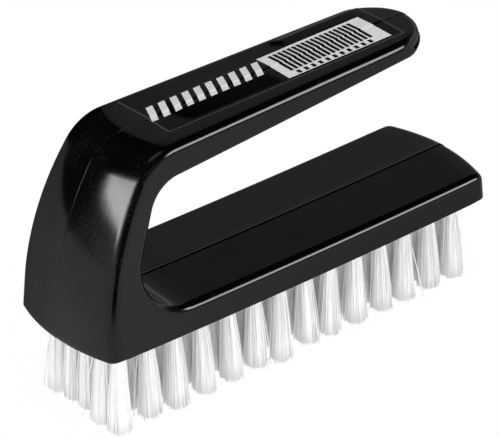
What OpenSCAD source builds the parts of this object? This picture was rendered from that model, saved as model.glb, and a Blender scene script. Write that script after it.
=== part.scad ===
// Hand scrubbing brush: a one-piece moulded body whose handle loops over the back of
// the bristle block and ends free, with five rows of staple-set nylon tufts and a film
// label on the handle. The brush stands on its bristle tips at z = 0, its length runs
// along X with the open side of the grip towards +X, and the mould parting line lies
// in the plane y = 0.

/* [Bristle block] */
// Length of the block between its corners
block_length = 116.4; // [106:0.2:126]
// Width of the block at its underside
block_width = 38; // [35:0.5:42]
// Thickness of the block on the parting line
block_thickness = 7.9; // [7.2:0.1:9.5]
// How far each end bulges past its corners, seen from above
end_bulge = 3.4; // [0.5:0.1:4.2]
// How far the ends of the block rise above its middle
block_camber = 0.7; // [0:0.1:1]
// Radius of the long top edges of the block
block_edge_radius = 1.8; // [0.8:0.1:2.2]
// Radius of the top edge across the open end of the block
end_edge_radius = 2.9; // [1:0.1:3.2]
// Radius of the upright corners of the block and riser
upright_edge_radius = 2; // [1.2:0.1:3]
// Radius of the edges round the underside
under_edge_radius = 0.5; // [0.2:0.1:0.8]

/* [Riser] */
// Height of the knee in the outer face of the riser above the underside
knee_height = 26.8; // [23:0.2:32]
// How far the knee stands in from the bulge of the block
knee_setback = 2.2; // [0.5:0.1:4]
// Radius of the long curve at the knee
knee_bend = 74; // [40:1:90]
// How far the shoulder stands in from the bulge of the block
shoulder_setback = 16.8; // [14:0.2:20]
// Radius of the bend over the shoulder
shoulder_bend = 13; // [8:0.5:17]
// Lean of the side faces from upright, in degrees
side_lean = 5; // [3:0.1:7]

/* [Handle] */
// Height of the handle's top at the shoulder above the underside of the block
handle_root_height = 48.5; // [44:0.1:53]
// Rise of the handle's top from the shoulder to the free tip
handle_rise = 1.5; // [0:0.1:3]
// Distance from the middle of the block to the free tip
handle_reach = 49.3; // [43:0.1:55]
// Thickness of the handle at the free tip
tip_thickness = 5; // [4.6:0.1:6.5]
// Thickness of the handle where it leaves the riser
root_thickness = 8.8; // [7.5:0.1:10.5]
// Length of the rounded nose at the free tip, seen from above
nose_length = 13.7; // [9:0.1:14.5]
// Narrowing of each side of the handle towards the tip, in degrees
handle_taper = 1.6; // [0:0.1:2.5]
// Radius of the handle's long top edges at the shoulder
handle_edge_radius = 2; // [1.2:0.1:2.6]
// Radius of the handle's top edge at the tip
tip_edge_radius = 2; // [1:0.1:2.2]
// Radius of the handle's lower edges
grip_edge_radius = 1.3; // [0.5:0.1:1.5]
// Rounding of the tip's upper lip, seen from the side
tip_upper_bend = 2.8; // [1:0.1:3.2]
// Rounding of the tip's lower lip, seen from the side
tip_lower_bend = 2; // [0.8:0.1:2.3]

/* [Finger gap] */
// Wall of the riser along the block's top, up to where the gap's back would meet it
riser_foot = 9.8; // [7.5:0.1:12.5]
// Wall of the riser along the handle, up to where the gap's back would meet it
riser_head = 22.2; // [19:0.1:25]
// Radius of the bend between the block's top and the riser
foot_bend = 11.9; // [8:0.1:14]
// Radius of the bend between the riser and the handle
head_bend = 8.8; // [6:0.1:11]
// Radius of the riser's inner edges
inner_edge_radius = 2; // [0.8:0.1:2.4]

/* [Mould parting] */
// Fall of the block's top from the parting line to its sides
block_crown = 0.55; // [0.2:0.05:1]
// Fall of the handle's faces from the parting line to their sides
handle_crown = 0.4; // [0.2:0.02:0.8]
// Step at the parting line, where the +Y half stands proud
parting_step = 0.15; // [0.05:0.01:0.25]

/* [Tufts] */
// Rows of tufts across the block
tuft_rows = 5; // [3:1:6]
// Length of the bristles below the block
bristle_length = 22.4; // [16:0.2:28]
// Diameter of the blind holes that hold the tufts
hole_diameter = 3.2; // [2.6:0.1:3.4]
// Depth of the blind holes
hole_depth = 5.6; // [5:0.1:6]
// Distance from the block's corner to the nearest column of holes
end_margin = 6; // [5:0.1:8.5]
// Distance from the block's side to the nearest row of holes
side_margin = 6.6; // [5:0.1:8.5]
// Diameter of a tuft at its tip
tip_spread = 4.6; // [3.4:0.1:4.9]
// Length of the tuft below the block that is still tightly bundled
bundled_length = 0.8; // [0.7:0.1:2]
// Raggedness of the bristle ends above the trimmed plane
ragged_ends = 1; // [0:0.1:1.5]
// Depth by which the trimming cuts the longest bristles flat
trim_depth = 0.5; // [0.2:0.1:1]
// How far the tips of the last column lean out at the riser's end
end_lean = 1; // [0:0.1:1.5]
// Clearance between a tuft and its hole or anchor
root_clearance = 0.05; // [0.02:0.01:0.1]

/* [Anchors] */
// Thickness of the flat wire anchors
anchor_thickness = 0.35; // [0.25:0.05:0.5]
// Height of the flat wire anchors
anchor_height = 1.6; // [1.2:0.1:2]
// How far each end of an anchor bites into the wall of its hole
anchor_bite = 0.25; // [0.15:0.05:0.4]
// Fold of filament between an anchor and the end of its hole
fold_height = 1; // [0.6:0.1:1.2]

/* [Label] */
// Length of the film label
label_length = 72.6; // [52:0.2:74]
// Distance of the label's -Y edge from the parting line
label_near = 8.1; // [4:0.1:8.6]
// Distance of the label's +Y edge from the rounding of the handle's edge
label_margin = 0.6; // [0.4:0.1:3]
// Thickness of the film label
label_thickness = 0.12; // [0.08:0.02:0.3]
// Distance from the free tip back to the label
label_setback = 8.1; // [7:0.1:15]
// Glue line under the label
glue_line = 0.03; // [0.02:0.01:0.06]

/* [Hidden] */
$fn = 48;

// Columns of tufts along the block, one node each
tuft_columns = 14;
// Strands that stand for the filaments of one tuft
tuft_strands = 7;
// Corners of a strand's section
strand_corners = 3;
// Rounding left where a bend has been taken in by an inset
least_bend = 0.3;
// Share of a face's length that its two bends may take up together
room_share = 0.98;
// Overrun of every cut
overrun = 1;

// Mid-plane positions worked out from the sizes above; heights are above the underside
half_length = block_length / 2;
half_width = block_width / 2;
bulge_x = half_length + end_bulge;
knee_x = knee_setback - bulge_x;
shoulder_x = shoulder_setback - bulge_x;
foot_x = riser_foot - bulge_x;
head_x = riser_head - bulge_x;
tip_top = handle_root_height + handle_rise;
tip_bottom = tip_top - tip_thickness;
handle_span = handle_reach - shoulder_x;
head_top = handle_root_height + handle_rise * (head_x - shoulder_x) / handle_span;
head_bottom = head_top - root_thickness;

// Corners of the side profile on the parting line, clockwise from the lower +X corner:
// x, height, radius of the bend there, and the straight pieces that the bend is made of
profile = [
    [bulge_x, 0, under_edge_radius, 2],
    [-bulge_x, 0, under_edge_radius, 2],
    [knee_x, knee_height, knee_bend, 4],
    [shoulder_x, handle_root_height, shoulder_bend, 8],
    [handle_reach, tip_top, tip_upper_bend, 4],
    [handle_reach, tip_bottom, tip_lower_bend, 4],
    [head_x, head_bottom, head_bend, 8],
    [foot_x, block_thickness, foot_bend, 8],
    [bulge_x, block_thickness, end_edge_radius, 2]
];
corners = len(profile);

// Faces between those corners, each with the fall to its sides, the bulge taken in by
// its sides, the length of its nose, its edge radius where it starts and where it ends,
// and the places of its extra points as shares of its straight stretch
faces = [
    [0, 0, 0, under_edge_radius, under_edge_radius, [0.035, 0.2, 0.4, 0.6, 0.8, 0.965]],
    [0, end_bulge, 0, upright_edge_radius, upright_edge_radius, [0.5]],
    [0, end_bulge, 0, upright_edge_radius, handle_edge_radius, []],
    [handle_crown, 0, 0, handle_edge_radius, tip_edge_radius, [0.3, 0.6, 0.85]],
    [0, 0, nose_length, tip_edge_radius, grip_edge_radius, []],
    [handle_crown, 0, 0, grip_edge_radius, grip_edge_radius, [0.15, 0.4, 0.7]],
    [handle_crown, 0, 0, inner_edge_radius, inner_edge_radius, []],
    [block_crown, 0, 0, inner_edge_radius, block_edge_radius, [0.035, 0.2, 0.4, 0.6, 0.8, 0.965]],
    [0, end_bulge, 0, upright_edge_radius, upright_edge_radius, []]
];

// Levels of one half, from the parting line outwards: share of the flat width, then the
// angle round the edge in degrees
half_levels = [
    [0, 0], [0.25, 0], [0.5, 0], [0.75, 0], [1, 0],
    [1, 22.5], [1, 45], [1, 67.5], [1, 90]
];

// A vector one long
function unit(v) = v / norm(v);

// The flat cross product
function across(a, b) = a[0] * b[1] - a[1] * b[0];

// Where the line through p along u meets the line through q along v
function meet(p, u, q, v) = p + u * across(q - p, v) / across(u, v);

// The pieces of every list in a list, joined
function flat(lists) = [for (l = lists) for (item = l) item];

// Half the body's width at a point of the side profile: the sides lean in, and above
// the block they also close in towards the tip
function width_at(x, z) =
    half_width - tan(side_lean) * z
    - tan(handle_taper) * (x - head_x) * max(0, z - block_thickness) / (tip_top - block_thickness);

// How far face i lies inside the profile near corner c at a level
function inset(i, c, edge, level) =
    let(
        half = width_at(profile[c][0], profile[c][1]),
        out = level[0] * (1 - edge / half * (1 - sin(level[1]))),
        nose = faces[i][2]
    )
    faces[i][0] * out + faces[i][1] * out * out
    + (nose > 0 ? nose * (1 - sqrt(max(0, 1 - out * out))) : edge * (1 - cos(level[1])));

// The corner or face before or after number i
function before(i) = (i + corners - 1) % corners;
function after(i) = (i + 1) % corners;

// Points of the bend of radius r at a corner, between its directions u and v, each with
// the edge radius there
function bend(i, at, u, v, r) =
    let(
        turn = atan2(across(u, v), u * v),
        normal = sign(turn) * [-u[1], u[0]],
        centre = at - u * r * tan(abs(turn) / 2) + normal * r,
        start = atan2(-normal[1], -normal[0]),
        steps = profile[i][3],
        e0 = faces[before(i)][4],
        e1 = faces[i][3]
    )
    [
        for (k = [0:steps])
            let(a = start + turn * k / steps)
            [
                centre[0] + r * cos(a),
                centre[1] + r * sin(a),
                steps > 2 ? e0 + (e1 - e0) * k / steps : max(e0, e1)
            ]
    ];

// The side profile taken in to one level: its lines are set in from the faces, met at
// new corners and rounded there, each bend as far as its two faces have room for. Each
// point is x, height and the edge radius there
function profile_at(level, lift) =
    let(
        every = [0:corners - 1],
        at = [for (p = profile) [p[0], p[1]]],
        along = [for (i = every) unit(at[after(i)] - at[i])],
        inward = [for (a = along) [a[1], -a[0]]],
        d0 = [for (i = every) inset(i, i, faces[i][3], level) + lift],
        d1 = [for (i = every) inset(i, after(i), faces[i][4], level) + lift],
        a = [for (i = every) at[i] + inward[i] * d0[i]],
        b = [for (i = every) at[after(i)] + inward[i] * d1[i]],
        q = [
            for (i = every)
                let(j = before(i))
                meet(a[j], b[j] - a[j], a[i], b[i] - a[i])
        ],
        u = [for (i = every) unit(q[after(i)] - q[i])],
        turn = [for (i = every) atan2(across(u[before(i)], u[i]), u[before(i)] * u[i])],
        take = [for (i = every) min(d1[before(i)], d0[i])],
        wish = [
            for (i = every)
                turn[i] < 0 ? max(profile[i][2] - take[i], least_bend) : profile[i][2] + take[i]
        ],
        tangent = [for (i = every) wish[i] * tan(abs(turn[i]) / 2)],
        room = [
            for (i = every)
                min(1, room_share * norm(q[after(i)] - q[i]) / (tangent[i] + tangent[after(i)]))
        ],
        bends = [
            for (i = every)
                bend(i, q[i], u[before(i)], u[i], wish[i] * min(room[before(i)], room[i]))
        ]
    )
    flat([
        for (i = every)
            let(
                start = bends[i][len(bends[i]) - 1],
                end = bends[after(i)][0],
                e0 = faces[i][3],
                e1 = faces[i][4]
            )
            concat(
                bends[i],
                [
                    for (s = faces[i][5])
                        [
                            start[0] + (end[0] - start[0]) * s,
                            start[1] + (end[1] - start[1]) * s,
                            e0 + (e1 - e0) * s
                        ]
                ]
            )
    ]);

// How far the camber lifts a point of the body
function camber_at(x, z) = block_camber * pow(x / half_length, 2) * max(0, 1 - z / tip_top);

// One level in space, on the +Y or -Y side
function ring(level, side) =
    [
        for (p = profile_at(level, side < 0 ? parting_step : 0))
            let(
                w = width_at(p[0], p[1]),
                y = level[0] * (w - p[2] * (1 - sin(level[1])))
            )
            [p[0], side * y, p[1] + camber_at(p[0], p[1])]
    ];

// Every level from the -Y side to the +Y side, as one list of points with the same
// number in each level. Both sides of the step meet in the plane of the parting line
body_levels = concat(
    [for (i = [len(half_levels) - 1:-1:0]) [half_levels[i], -1]],
    [for (l = half_levels) [l, 1]]
);
body_rings = [for (l = body_levels) ring(l[0], l[1])];
ring_points = len(body_rings[0]);

// Two triangles over the four-sided patch between two levels
function patch(a, b, c, d) = [[a, b, c], [a, c, d]];

// The skin is a band between each pair of levels, and each side is a strip that pairs
// the outer run of the profile with its inner run
body_skin = concat(
    flat([
        for (m = [0:len(body_levels) - 2])
            for (k = [0:ring_points - 1])
                let(n = (k + 1) % ring_points, p = m * ring_points, q = p + ring_points)
                patch(p + k, q + k, q + n, p + n)
    ]),
    flat([
        for (k = [0:ring_points / 2 - 2])
            let(last = ring_points - 1, q = (len(body_levels) - 1) * ring_points)
            concat(
                patch(k, k + 1, last - k - 1, last - k),
                patch(q + k, q + last - k, q + last - k - 1, q + k + 1)
            )
    ])
);

// Tuft places, evenly spaced between the margins
column_pitch = (block_length - 2 * end_margin) / (tuft_columns - 1);
row_pitch = (block_width - 2 * side_margin) / (tuft_rows - 1);
function tuft_x(column) = end_margin - half_length + column * column_pitch;
function tuft_y(row) = side_margin - half_width + row * row_pitch;

// Everything at the root of a tuft, measured up from the underside of the block
root_top = hole_depth - root_clearance;
anchor_top = hole_depth - fold_height;
anchor_length = hole_diameter + 2 * anchor_bite;
root_radius = hole_diameter / 2 - root_clearance;

// Each strand is a wedge of the round bundle, drawn in by this share of its size to
// stay clear of its neighbours
strand_gap_share = 0.12;
// How much narrower a strand is at its tip, as a share of its size at the root
strand_tip_share = 0.85;
// Scatter of the strand tips across the tuft, as a share of the spread of the tips
scatter_share = 0.12;

// Three corners of strand s at the root, about the middle of its tuft
function strand_root(s) =
    let(
        step = 360 / tuft_strands,
        tri = [
            [0, 0],
            root_radius * [cos(s * step), sin(s * step)],
            root_radius * [cos((s + 1) * step), sin((s + 1) * step)]
        ],
        middle = (tri[0] + tri[1] + tri[2]) / strand_corners
    )
    [for (p = tri) middle + (p - middle) * (1 - strand_gap_share)];

// The same corners at the tip, moved outwards along the middle of the wedge and by the
// lean of the whole tuft towards -X
function strand_tip(s, stray, lean) =
    let(
        root = strand_root(s),
        middle = (root[0] + root[1] + root[2]) / strand_corners,
        throw = (tip_spread / 2 - root_radius) * (1 - scatter_share * stray)
    )
    [for (p = root) middle + (p - middle) * strand_tip_share + unit(middle) * throw - [lean, 0]];

// Points of a tuft: the two ends of its root, the middle of the lower one, then three
// at the root and three at the tip of each strand. z is up from the trimmed plane
function tuft_points(stray, ends, lean) =
    let(step = 360 / tuft_strands, low = bristle_length - bundled_length)
    concat(
        [
            for (s = [0:tuft_strands - 1])
                [root_radius * cos(s * step), root_radius * sin(s * step), bristle_length + root_top]
        ],
        [
            for (s = [0:tuft_strands - 1])
                [root_radius * cos(s * step), root_radius * sin(s * step), low]
        ],
        [[0, 0, low]],
        flat([
            for (s = [0:tuft_strands - 1])
                concat(
                    [for (p = strand_root(s)) [p[0], p[1], low]],
                    [for (p = strand_tip(s, stray[s], lean)) [p[0], p[1], max(0, ends[s])]]
                )
        ])
    );

// Faces of a tuft: its upper end, the sides of its root, and for each strand the rim of
// its wedge, its three sides and its cut end
tuft_faces =
    let(n = tuft_strands)
    concat(
        [for (s = [1:n - 2]) [0, s + 1, s]],
        flat([for (s = [0:n - 1]) patch(s, (s + 1) % n, n + (s + 1) % n, n + s)]),
        flat([
            for (s = [0:n - 1])
                let(
                    o = 2 * n,
                    a = n + s,
                    b = n + (s + 1) % n,
                    r = 2 * n + 1 + 2 * strand_corners * s,
                    t = r + strand_corners
                )
                concat(
                    patch(o, a, r + 1, r),
                    patch(a, b, r + 2, r + 1),
                    patch(b, o, r, r + 2),
                    patch(r, r + 1, t + 1, t),
                    patch(r + 1, r + 2, t + 2, t + 1),
                    patch(r + 2, r, t, t + 2),
                    [[t, t + 1, t + 2]]
                )
        ])
    );

// A flat wire anchor, or with a clearance the slot that it needs
module anchor(clearance) {
    translate([
        -anchor_length / 2 - clearance,
        -anchor_thickness / 2 - clearance,
        bristle_length + anchor_top - anchor_height - clearance
    ])
        cube([
            anchor_length + 2 * clearance,
            anchor_thickness + 2 * clearance,
            anchor_height + 2 * clearance
        ]);
}

// One tuft: a bundle folded over its anchor, with its strands splayed and trimmed
module tuft(seed, lean) {
    stray = rands(0, 1, tuft_strands, seed);
    ends = rands(-trim_depth, ragged_ends, tuft_strands, seed + tuft_columns * tuft_rows);
    difference() {
        polyhedron(tuft_points(stray, ends, lean), tuft_faces, convexity = 6);
        anchor(root_clearance);
    }
}

// The tufts of one column across the block
module tufts(column) {
    color("whitesmoke")
        for (row = [0:tuft_rows - 1])
            translate([tuft_x(column), tuft_y(row), 0])
                tuft(column * tuft_rows + row, column == 0 ? end_lean : 0);
}

// Moves its children to every tuft
module at_tufts() {
    for (column = [0:tuft_columns - 1])
        for (row = [0:tuft_rows - 1])
            translate([tuft_x(column), tuft_y(row), 0])
                children();
}

// The blind hole of a tuft with the slots that its anchor cuts
module tuft_hole() {
    translate([0, 0, bristle_length - overrun])
        cylinder(h = hole_depth + overrun, d = hole_diameter);
    anchor(root_clearance);
}

// Block, riser and handle in one moulding, drilled for the tufts
module body() {
    color([0.12, 0.12, 0.13])
        difference() {
            translate([0, 0, bristle_length])
                polyhedron(flat(body_rings), body_skin, convexity = 8);
            at_tufts() tuft_hole();
        }
}

// All the anchors, one for each tuft
module anchors() {
    color("silver")
        at_tufts() anchor(0);
}

// Height of the handle's top on the parting line, above the underside
function crest_at(x) = handle_root_height + handle_rise * (x - shoulder_x) / handle_span;

// Height of the handle's top at y, on the half with the given step
function handle_top(x, y, step) =
    let(line = crest_at(x), w = width_at(x, line))
    line - step - handle_crown * abs(y) / w + camber_at(x, line);

// The label spans both halves, with a narrow ramp over the parting step, and its +Y edge
// keeps to the taper of the handle
ramp = 4 * parting_step;
label_end = handle_reach - label_setback;
label_columns = [label_end - label_length, label_end - label_length / 2, label_end];
function label_far(x) = width_at(x, crest_at(x)) - handle_edge_radius - label_margin;
function label_rows(x) = [-label_near, -ramp, 0, label_far(x)];
label_places = [
    for (x = label_columns)
        for (y = label_rows(x))
            [x, y, bristle_length + glue_line + handle_top(x, y, y < 0 ? parting_step : 0)]
];

// Film label that follows both halves of the handle's top
module label() {
    nx = len(label_columns);
    ny = len(label_rows(0));
    n = nx * ny;
    points = concat(label_places, [for (p = label_places) p + [0, 0, label_thickness]]);
    sheet = flat([
        for (i = [0:nx - 2])
            for (j = [0:ny - 2])
                let(a = i * ny + j, b = a + ny)
                concat(
                    patch(a, a + 1, b + 1, b),
                    patch(n + a, n + b, n + b + 1, n + a + 1)
                )
    ]);
    sides = flat([
        for (i = [0:nx - 2])
            let(a = i * ny, b = a + ny, c = b - 1, d = c + ny)
            concat(patch(a, b, n + b, n + a), patch(c, n + c, n + d, d))
    ]);
    ends = flat([
        for (j = [0:ny - 2])
            let(a = j, c = (nx - 1) * ny + j)
            concat(patch(a, n + a, n + a + 1, a + 1), patch(c, c + 1, n + c + 1, n + c))
    ]);
    color([0.05, 0.05, 0.06])
        polyhedron(points, concat(sheet, sides, ends), convexity = 4);
}

body();
label();
anchors();
tufts(0);  // tufts_01
tufts(1);  // tufts_02
tufts(2);  // tufts_03
tufts(3);  // tufts_04
tufts(4);  // tufts_05
tufts(5);  // tufts_06
tufts(6);  // tufts_07
tufts(7);  // tufts_08
tufts(8);  // tufts_09
tufts(9);  // tufts_10
tufts(10);  // tufts_11
tufts(11);  // tufts_12
tufts(12);  // tufts_13
tufts(13);  // tufts_14
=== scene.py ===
"""Looks of a hand scrubbing brush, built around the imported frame.

The brush is one glossy black moulding, a bristle block whose riser carries a looped
handle, with fourteen columns of folded white nylon tufts, the flat wire anchors that
hold them and a printed film label on the handle. It stands on its bristle tips at
z = 0, its length runs along X and the mould parting line lies in the plane y = 0.
All sizes are in metres.
"""

import logging
import math
from dataclasses import dataclass
from enum import Enum

import bpy
import numpy as np
from mathutils import Matrix


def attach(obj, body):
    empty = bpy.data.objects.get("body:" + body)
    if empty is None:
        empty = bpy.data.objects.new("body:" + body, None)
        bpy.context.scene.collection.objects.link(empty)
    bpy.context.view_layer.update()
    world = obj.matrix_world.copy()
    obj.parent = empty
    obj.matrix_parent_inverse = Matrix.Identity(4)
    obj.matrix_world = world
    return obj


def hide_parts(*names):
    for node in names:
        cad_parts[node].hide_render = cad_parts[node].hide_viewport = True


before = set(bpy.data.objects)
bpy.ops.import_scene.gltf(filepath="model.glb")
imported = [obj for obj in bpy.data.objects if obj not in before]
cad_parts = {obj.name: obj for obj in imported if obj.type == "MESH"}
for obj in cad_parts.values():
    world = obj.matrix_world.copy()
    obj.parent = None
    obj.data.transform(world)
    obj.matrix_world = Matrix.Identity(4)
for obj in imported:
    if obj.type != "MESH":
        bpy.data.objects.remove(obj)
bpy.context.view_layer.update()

MM = 0.001
ROOT = "root"

log = logging.getLogger("hand_brush")


class Side(Enum):
    """Half of the moulding, named by where it lies from the parting line."""

    NEAR = -1
    FAR = 1


class Station(Enum):
    """Part of a half that a level of the skin belongs to."""

    PARTING = "parting"
    FLAT = "flat"
    EDGE = "edge"


# Mesh helpers


def unit(v: np.ndarray) -> np.ndarray:
    """Return the vectors along the last axis, each divided by its length."""
    return v / np.maximum(np.linalg.norm(v, axis=-1, keepdims=True), 1e-15)


def cross2(a: np.ndarray, b: np.ndarray) -> np.ndarray:
    """Return the flat cross product, a_x b_y less a_y b_x, along the last axis."""
    return a[..., 0] * b[..., 1] - a[..., 1] * b[..., 0]


def smooth(t: np.ndarray) -> np.ndarray:
    """Return the smooth step 3t^2 - 2t^3 of t held between 0 and 1."""
    t = np.clip(t, 0.0, 1.0)
    return t * t * (3.0 - 2.0 * t)


def quads(index: np.ndarray) -> np.ndarray:
    """Return the four-sided faces over a grid of vertex numbers, one face a row."""
    corners = (index[:-1, :-1], index[:-1, 1:], index[1:, 1:], index[1:, :-1])
    return np.stack(corners, axis=-1).reshape(-1, 4)


def band(rows: int, columns: int, closed: bool, start: int = 0) -> np.ndarray:
    """Four-sided faces over a grid of vertices.

    Args:
        rows: Number of rows of vertices.
        columns: Number of vertices in a row.
        closed: Whether each row joins its own start.
        start: Index of the grid's first vertex.

    Returns:
        One row of four vertex numbers for each face.
    """
    index = start + np.arange(rows * columns).reshape(rows, columns)
    if closed:
        index = np.concatenate([index, index[:, :1]], axis=1)
    return quads(index)


def mesh_piece(name: str, points: np.ndarray, faces: list[np.ndarray]) -> bpy.types.Object:
    """Make an object from arrays, with its place in its mesh.

    Args:
        name: Name of the object and of its mesh.
        points: Vertex places, three to a row.
        faces: Arrays of faces, each with one number of corners.

    Returns:
        The object, smooth shaded and linked to the scene.
    """
    loops = np.concatenate([f.reshape(-1) for f in faces]).astype(np.int32)
    sizes = np.concatenate([np.full(len(f), f.shape[1]) for f in faces])
    starts = np.concatenate([[0], np.cumsum(sizes)[:-1]]).astype(np.int32)
    mesh = bpy.data.meshes.new(name)
    mesh.vertices.add(len(points))
    mesh.vertices.foreach_set("co", points.astype(np.float32).reshape(-1))
    mesh.loops.add(len(loops))
    mesh.loops.foreach_set("vertex_index", loops)
    mesh.polygons.add(len(starts))
    mesh.polygons.foreach_set("loop_start", starts)
    mesh.update(calc_edges=True)
    mesh.validate()
    mesh.shade_smooth()
    piece = bpy.data.objects.new(name, mesh)
    bpy.context.scene.collection.objects.link(piece)
    return piece


def paint(piece: bpy.types.Object, name: str, values: np.ndarray) -> None:
    """Store one number for each vertex of a piece, in an attribute that materials read."""
    layer = piece.data.attributes.new(name, "FLOAT", "POINT")
    layer.data.foreach_set("value", values.astype(np.float32).reshape(-1))


def faces_out(piece: bpy.types.Object) -> None:
    """Turn a closed piece right side out where its signed volume is negative.

    The volume is a sixth of the sum, over its triangles, of a . (b x c).

    Args:
        piece: The piece, whose faces all go round the same way.
    """
    mesh = piece.data
    mesh.calc_loop_triangles()
    corners = np.empty(len(mesh.loop_triangles) * 3, np.int32)
    mesh.loop_triangles.foreach_get("vertices", corners)
    places = np.empty(len(mesh.vertices) * 3, np.float32)
    mesh.vertices.foreach_get("co", places)
    a, b, c = places.reshape(-1, 3)[corners.reshape(-1, 3)].transpose(1, 0, 2).astype(float)
    if np.einsum("ij,ij->i", a, np.cross(b, c)).sum() < 0.0:
        mesh.flip_normals()


def dress(piece: bpy.types.Object, material: bpy.types.Material) -> None:
    """Give a piece one material."""
    piece.data.materials.clear()
    piece.data.materials.append(material)


# Materials


class Nodes:
    """A short way to write a node tree: add a node, set its sockets, link it."""

    def __init__(self, tree: bpy.types.NodeTree) -> None:
        """Hold the tree that the nodes go into."""
        self.tree = tree

    def feed(self, node: bpy.types.Node, **sockets: object) -> None:
        """Set or link input sockets of a node.

        Args:
            node: The node.
            **sockets: Input sockets by name, with a blank written as an underscore, or
                by an underscore and a number. A value is set on the socket, and an
                output socket is linked to it.
        """
        for key, value in sockets.items():
            number = key[1:]
            socket = node.inputs[int(number)] if number.isdigit() else node.inputs[key.replace("_", " ")]
            if isinstance(value, bpy.types.NodeSocket):
                self.tree.links.new(value, socket)
            else:
                socket.default_value = value

    def add(self, kind: str, settings: dict | None = None, **sockets: object) -> bpy.types.Node:
        """Add a node.

        Args:
            kind: The node's type name.
            settings: Properties of the node itself.
            **sockets: Its input sockets, as feed takes them.

        Returns:
            The new node.
        """
        node = self.tree.nodes.new(kind)
        for key, value in (settings or {}).items():
            setattr(node, key, value)
        self.feed(node, **sockets)
        return node

    def math(self, operation: str, a: object, b: object = 0.0,
             clamp: bool = False) -> bpy.types.NodeSocket:
        """Add a Math node and return its output."""
        settings = {"operation": operation, "use_clamp": clamp}
        return self.add("ShaderNodeMath", settings, _0=a, _1=b).outputs[0]

    def mix(self, factor: object, a: object, b: object) -> bpy.types.NodeSocket:
        """Mix the colours a and b by a factor and return the colour."""
        node = self.add("ShaderNodeMix", {"data_type": "RGBA"}, _0=factor, _6=a, _7=b)
        return node.outputs[2]

    def scale(self, value: object, low: float, high: float, to_low: float,
              to_high: float, kind: str = "LINEAR") -> bpy.types.NodeSocket:
        """Map low..high to to_low..to_high with clamping and return the value."""
        sockets = {"Value": value, "From_Min": low, "From_Max": high, "To_Min": to_low, "To_Max": to_high}
        return self.add("ShaderNodeMapRange", {"interpolation_type": kind}, **sockets).outputs["Result"]

    def ramp(self, value: object, low: float, high: float,
             stops: tuple[tuple[float, float], ...]) -> bpy.types.NodeSocket:
        """Read a level off a line through stops.

        Args:
            value: The value that says where to read.
            low: The value at the start of the line.
            high: The value at its end.
            stops: Values between the two, each with the line's level there.

        Returns:
            The level, as a grey colour.
        """
        node = self.add("ShaderNodeValToRGB", None, Fac=self.scale(value, low, high, 0.0, 1.0))
        elements = node.color_ramp.elements
        while len(elements) < len(stops):
            elements.new(0.5)
        for element, (place, level) in zip(elements, stops):
            element.position = (place - low) / (high - low)
            element.color = grey(level)
        return node.outputs["Color"]

    def noise(self, place: object, size: float, detail: float = 2.0) -> bpy.types.NodeSocket:
        """Add a noise whose features are about size metres wide and return its value."""
        sockets = {"Vector": place, "Scale": 1.0 / size, "Detail": detail}
        return self.add("ShaderNodeTexNoise", None, **sockets).outputs["Fac"]

    def streaks(self, place: object, draw: tuple[float, float, float],
                size: float) -> bpy.types.NodeSocket:
        """Return a noise of a size drawn out along the axes where its scale is below 1."""
        drawn = self.add("ShaderNodeMapping", None, Vector=place, Scale=draw).outputs[0]
        return self.noise(drawn, size, detail=3.0)


def new_material(name: str) -> tuple[bpy.types.Material, Nodes, bpy.types.Node]:
    """Make a material with a Principled shader.

    Args:
        name: Name of the material.

    Returns:
        The material, its nodes and its shader node.
    """
    material = bpy.data.materials.new(name)
    material.use_nodes = True
    nodes = Nodes(material.node_tree)
    return material, nodes, material.node_tree.nodes["Principled BSDF"]


def grey(level: float) -> tuple[float, float, float, float]:
    """Return a grey colour of one linear level."""
    return (level, level, level, 1.0)


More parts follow.
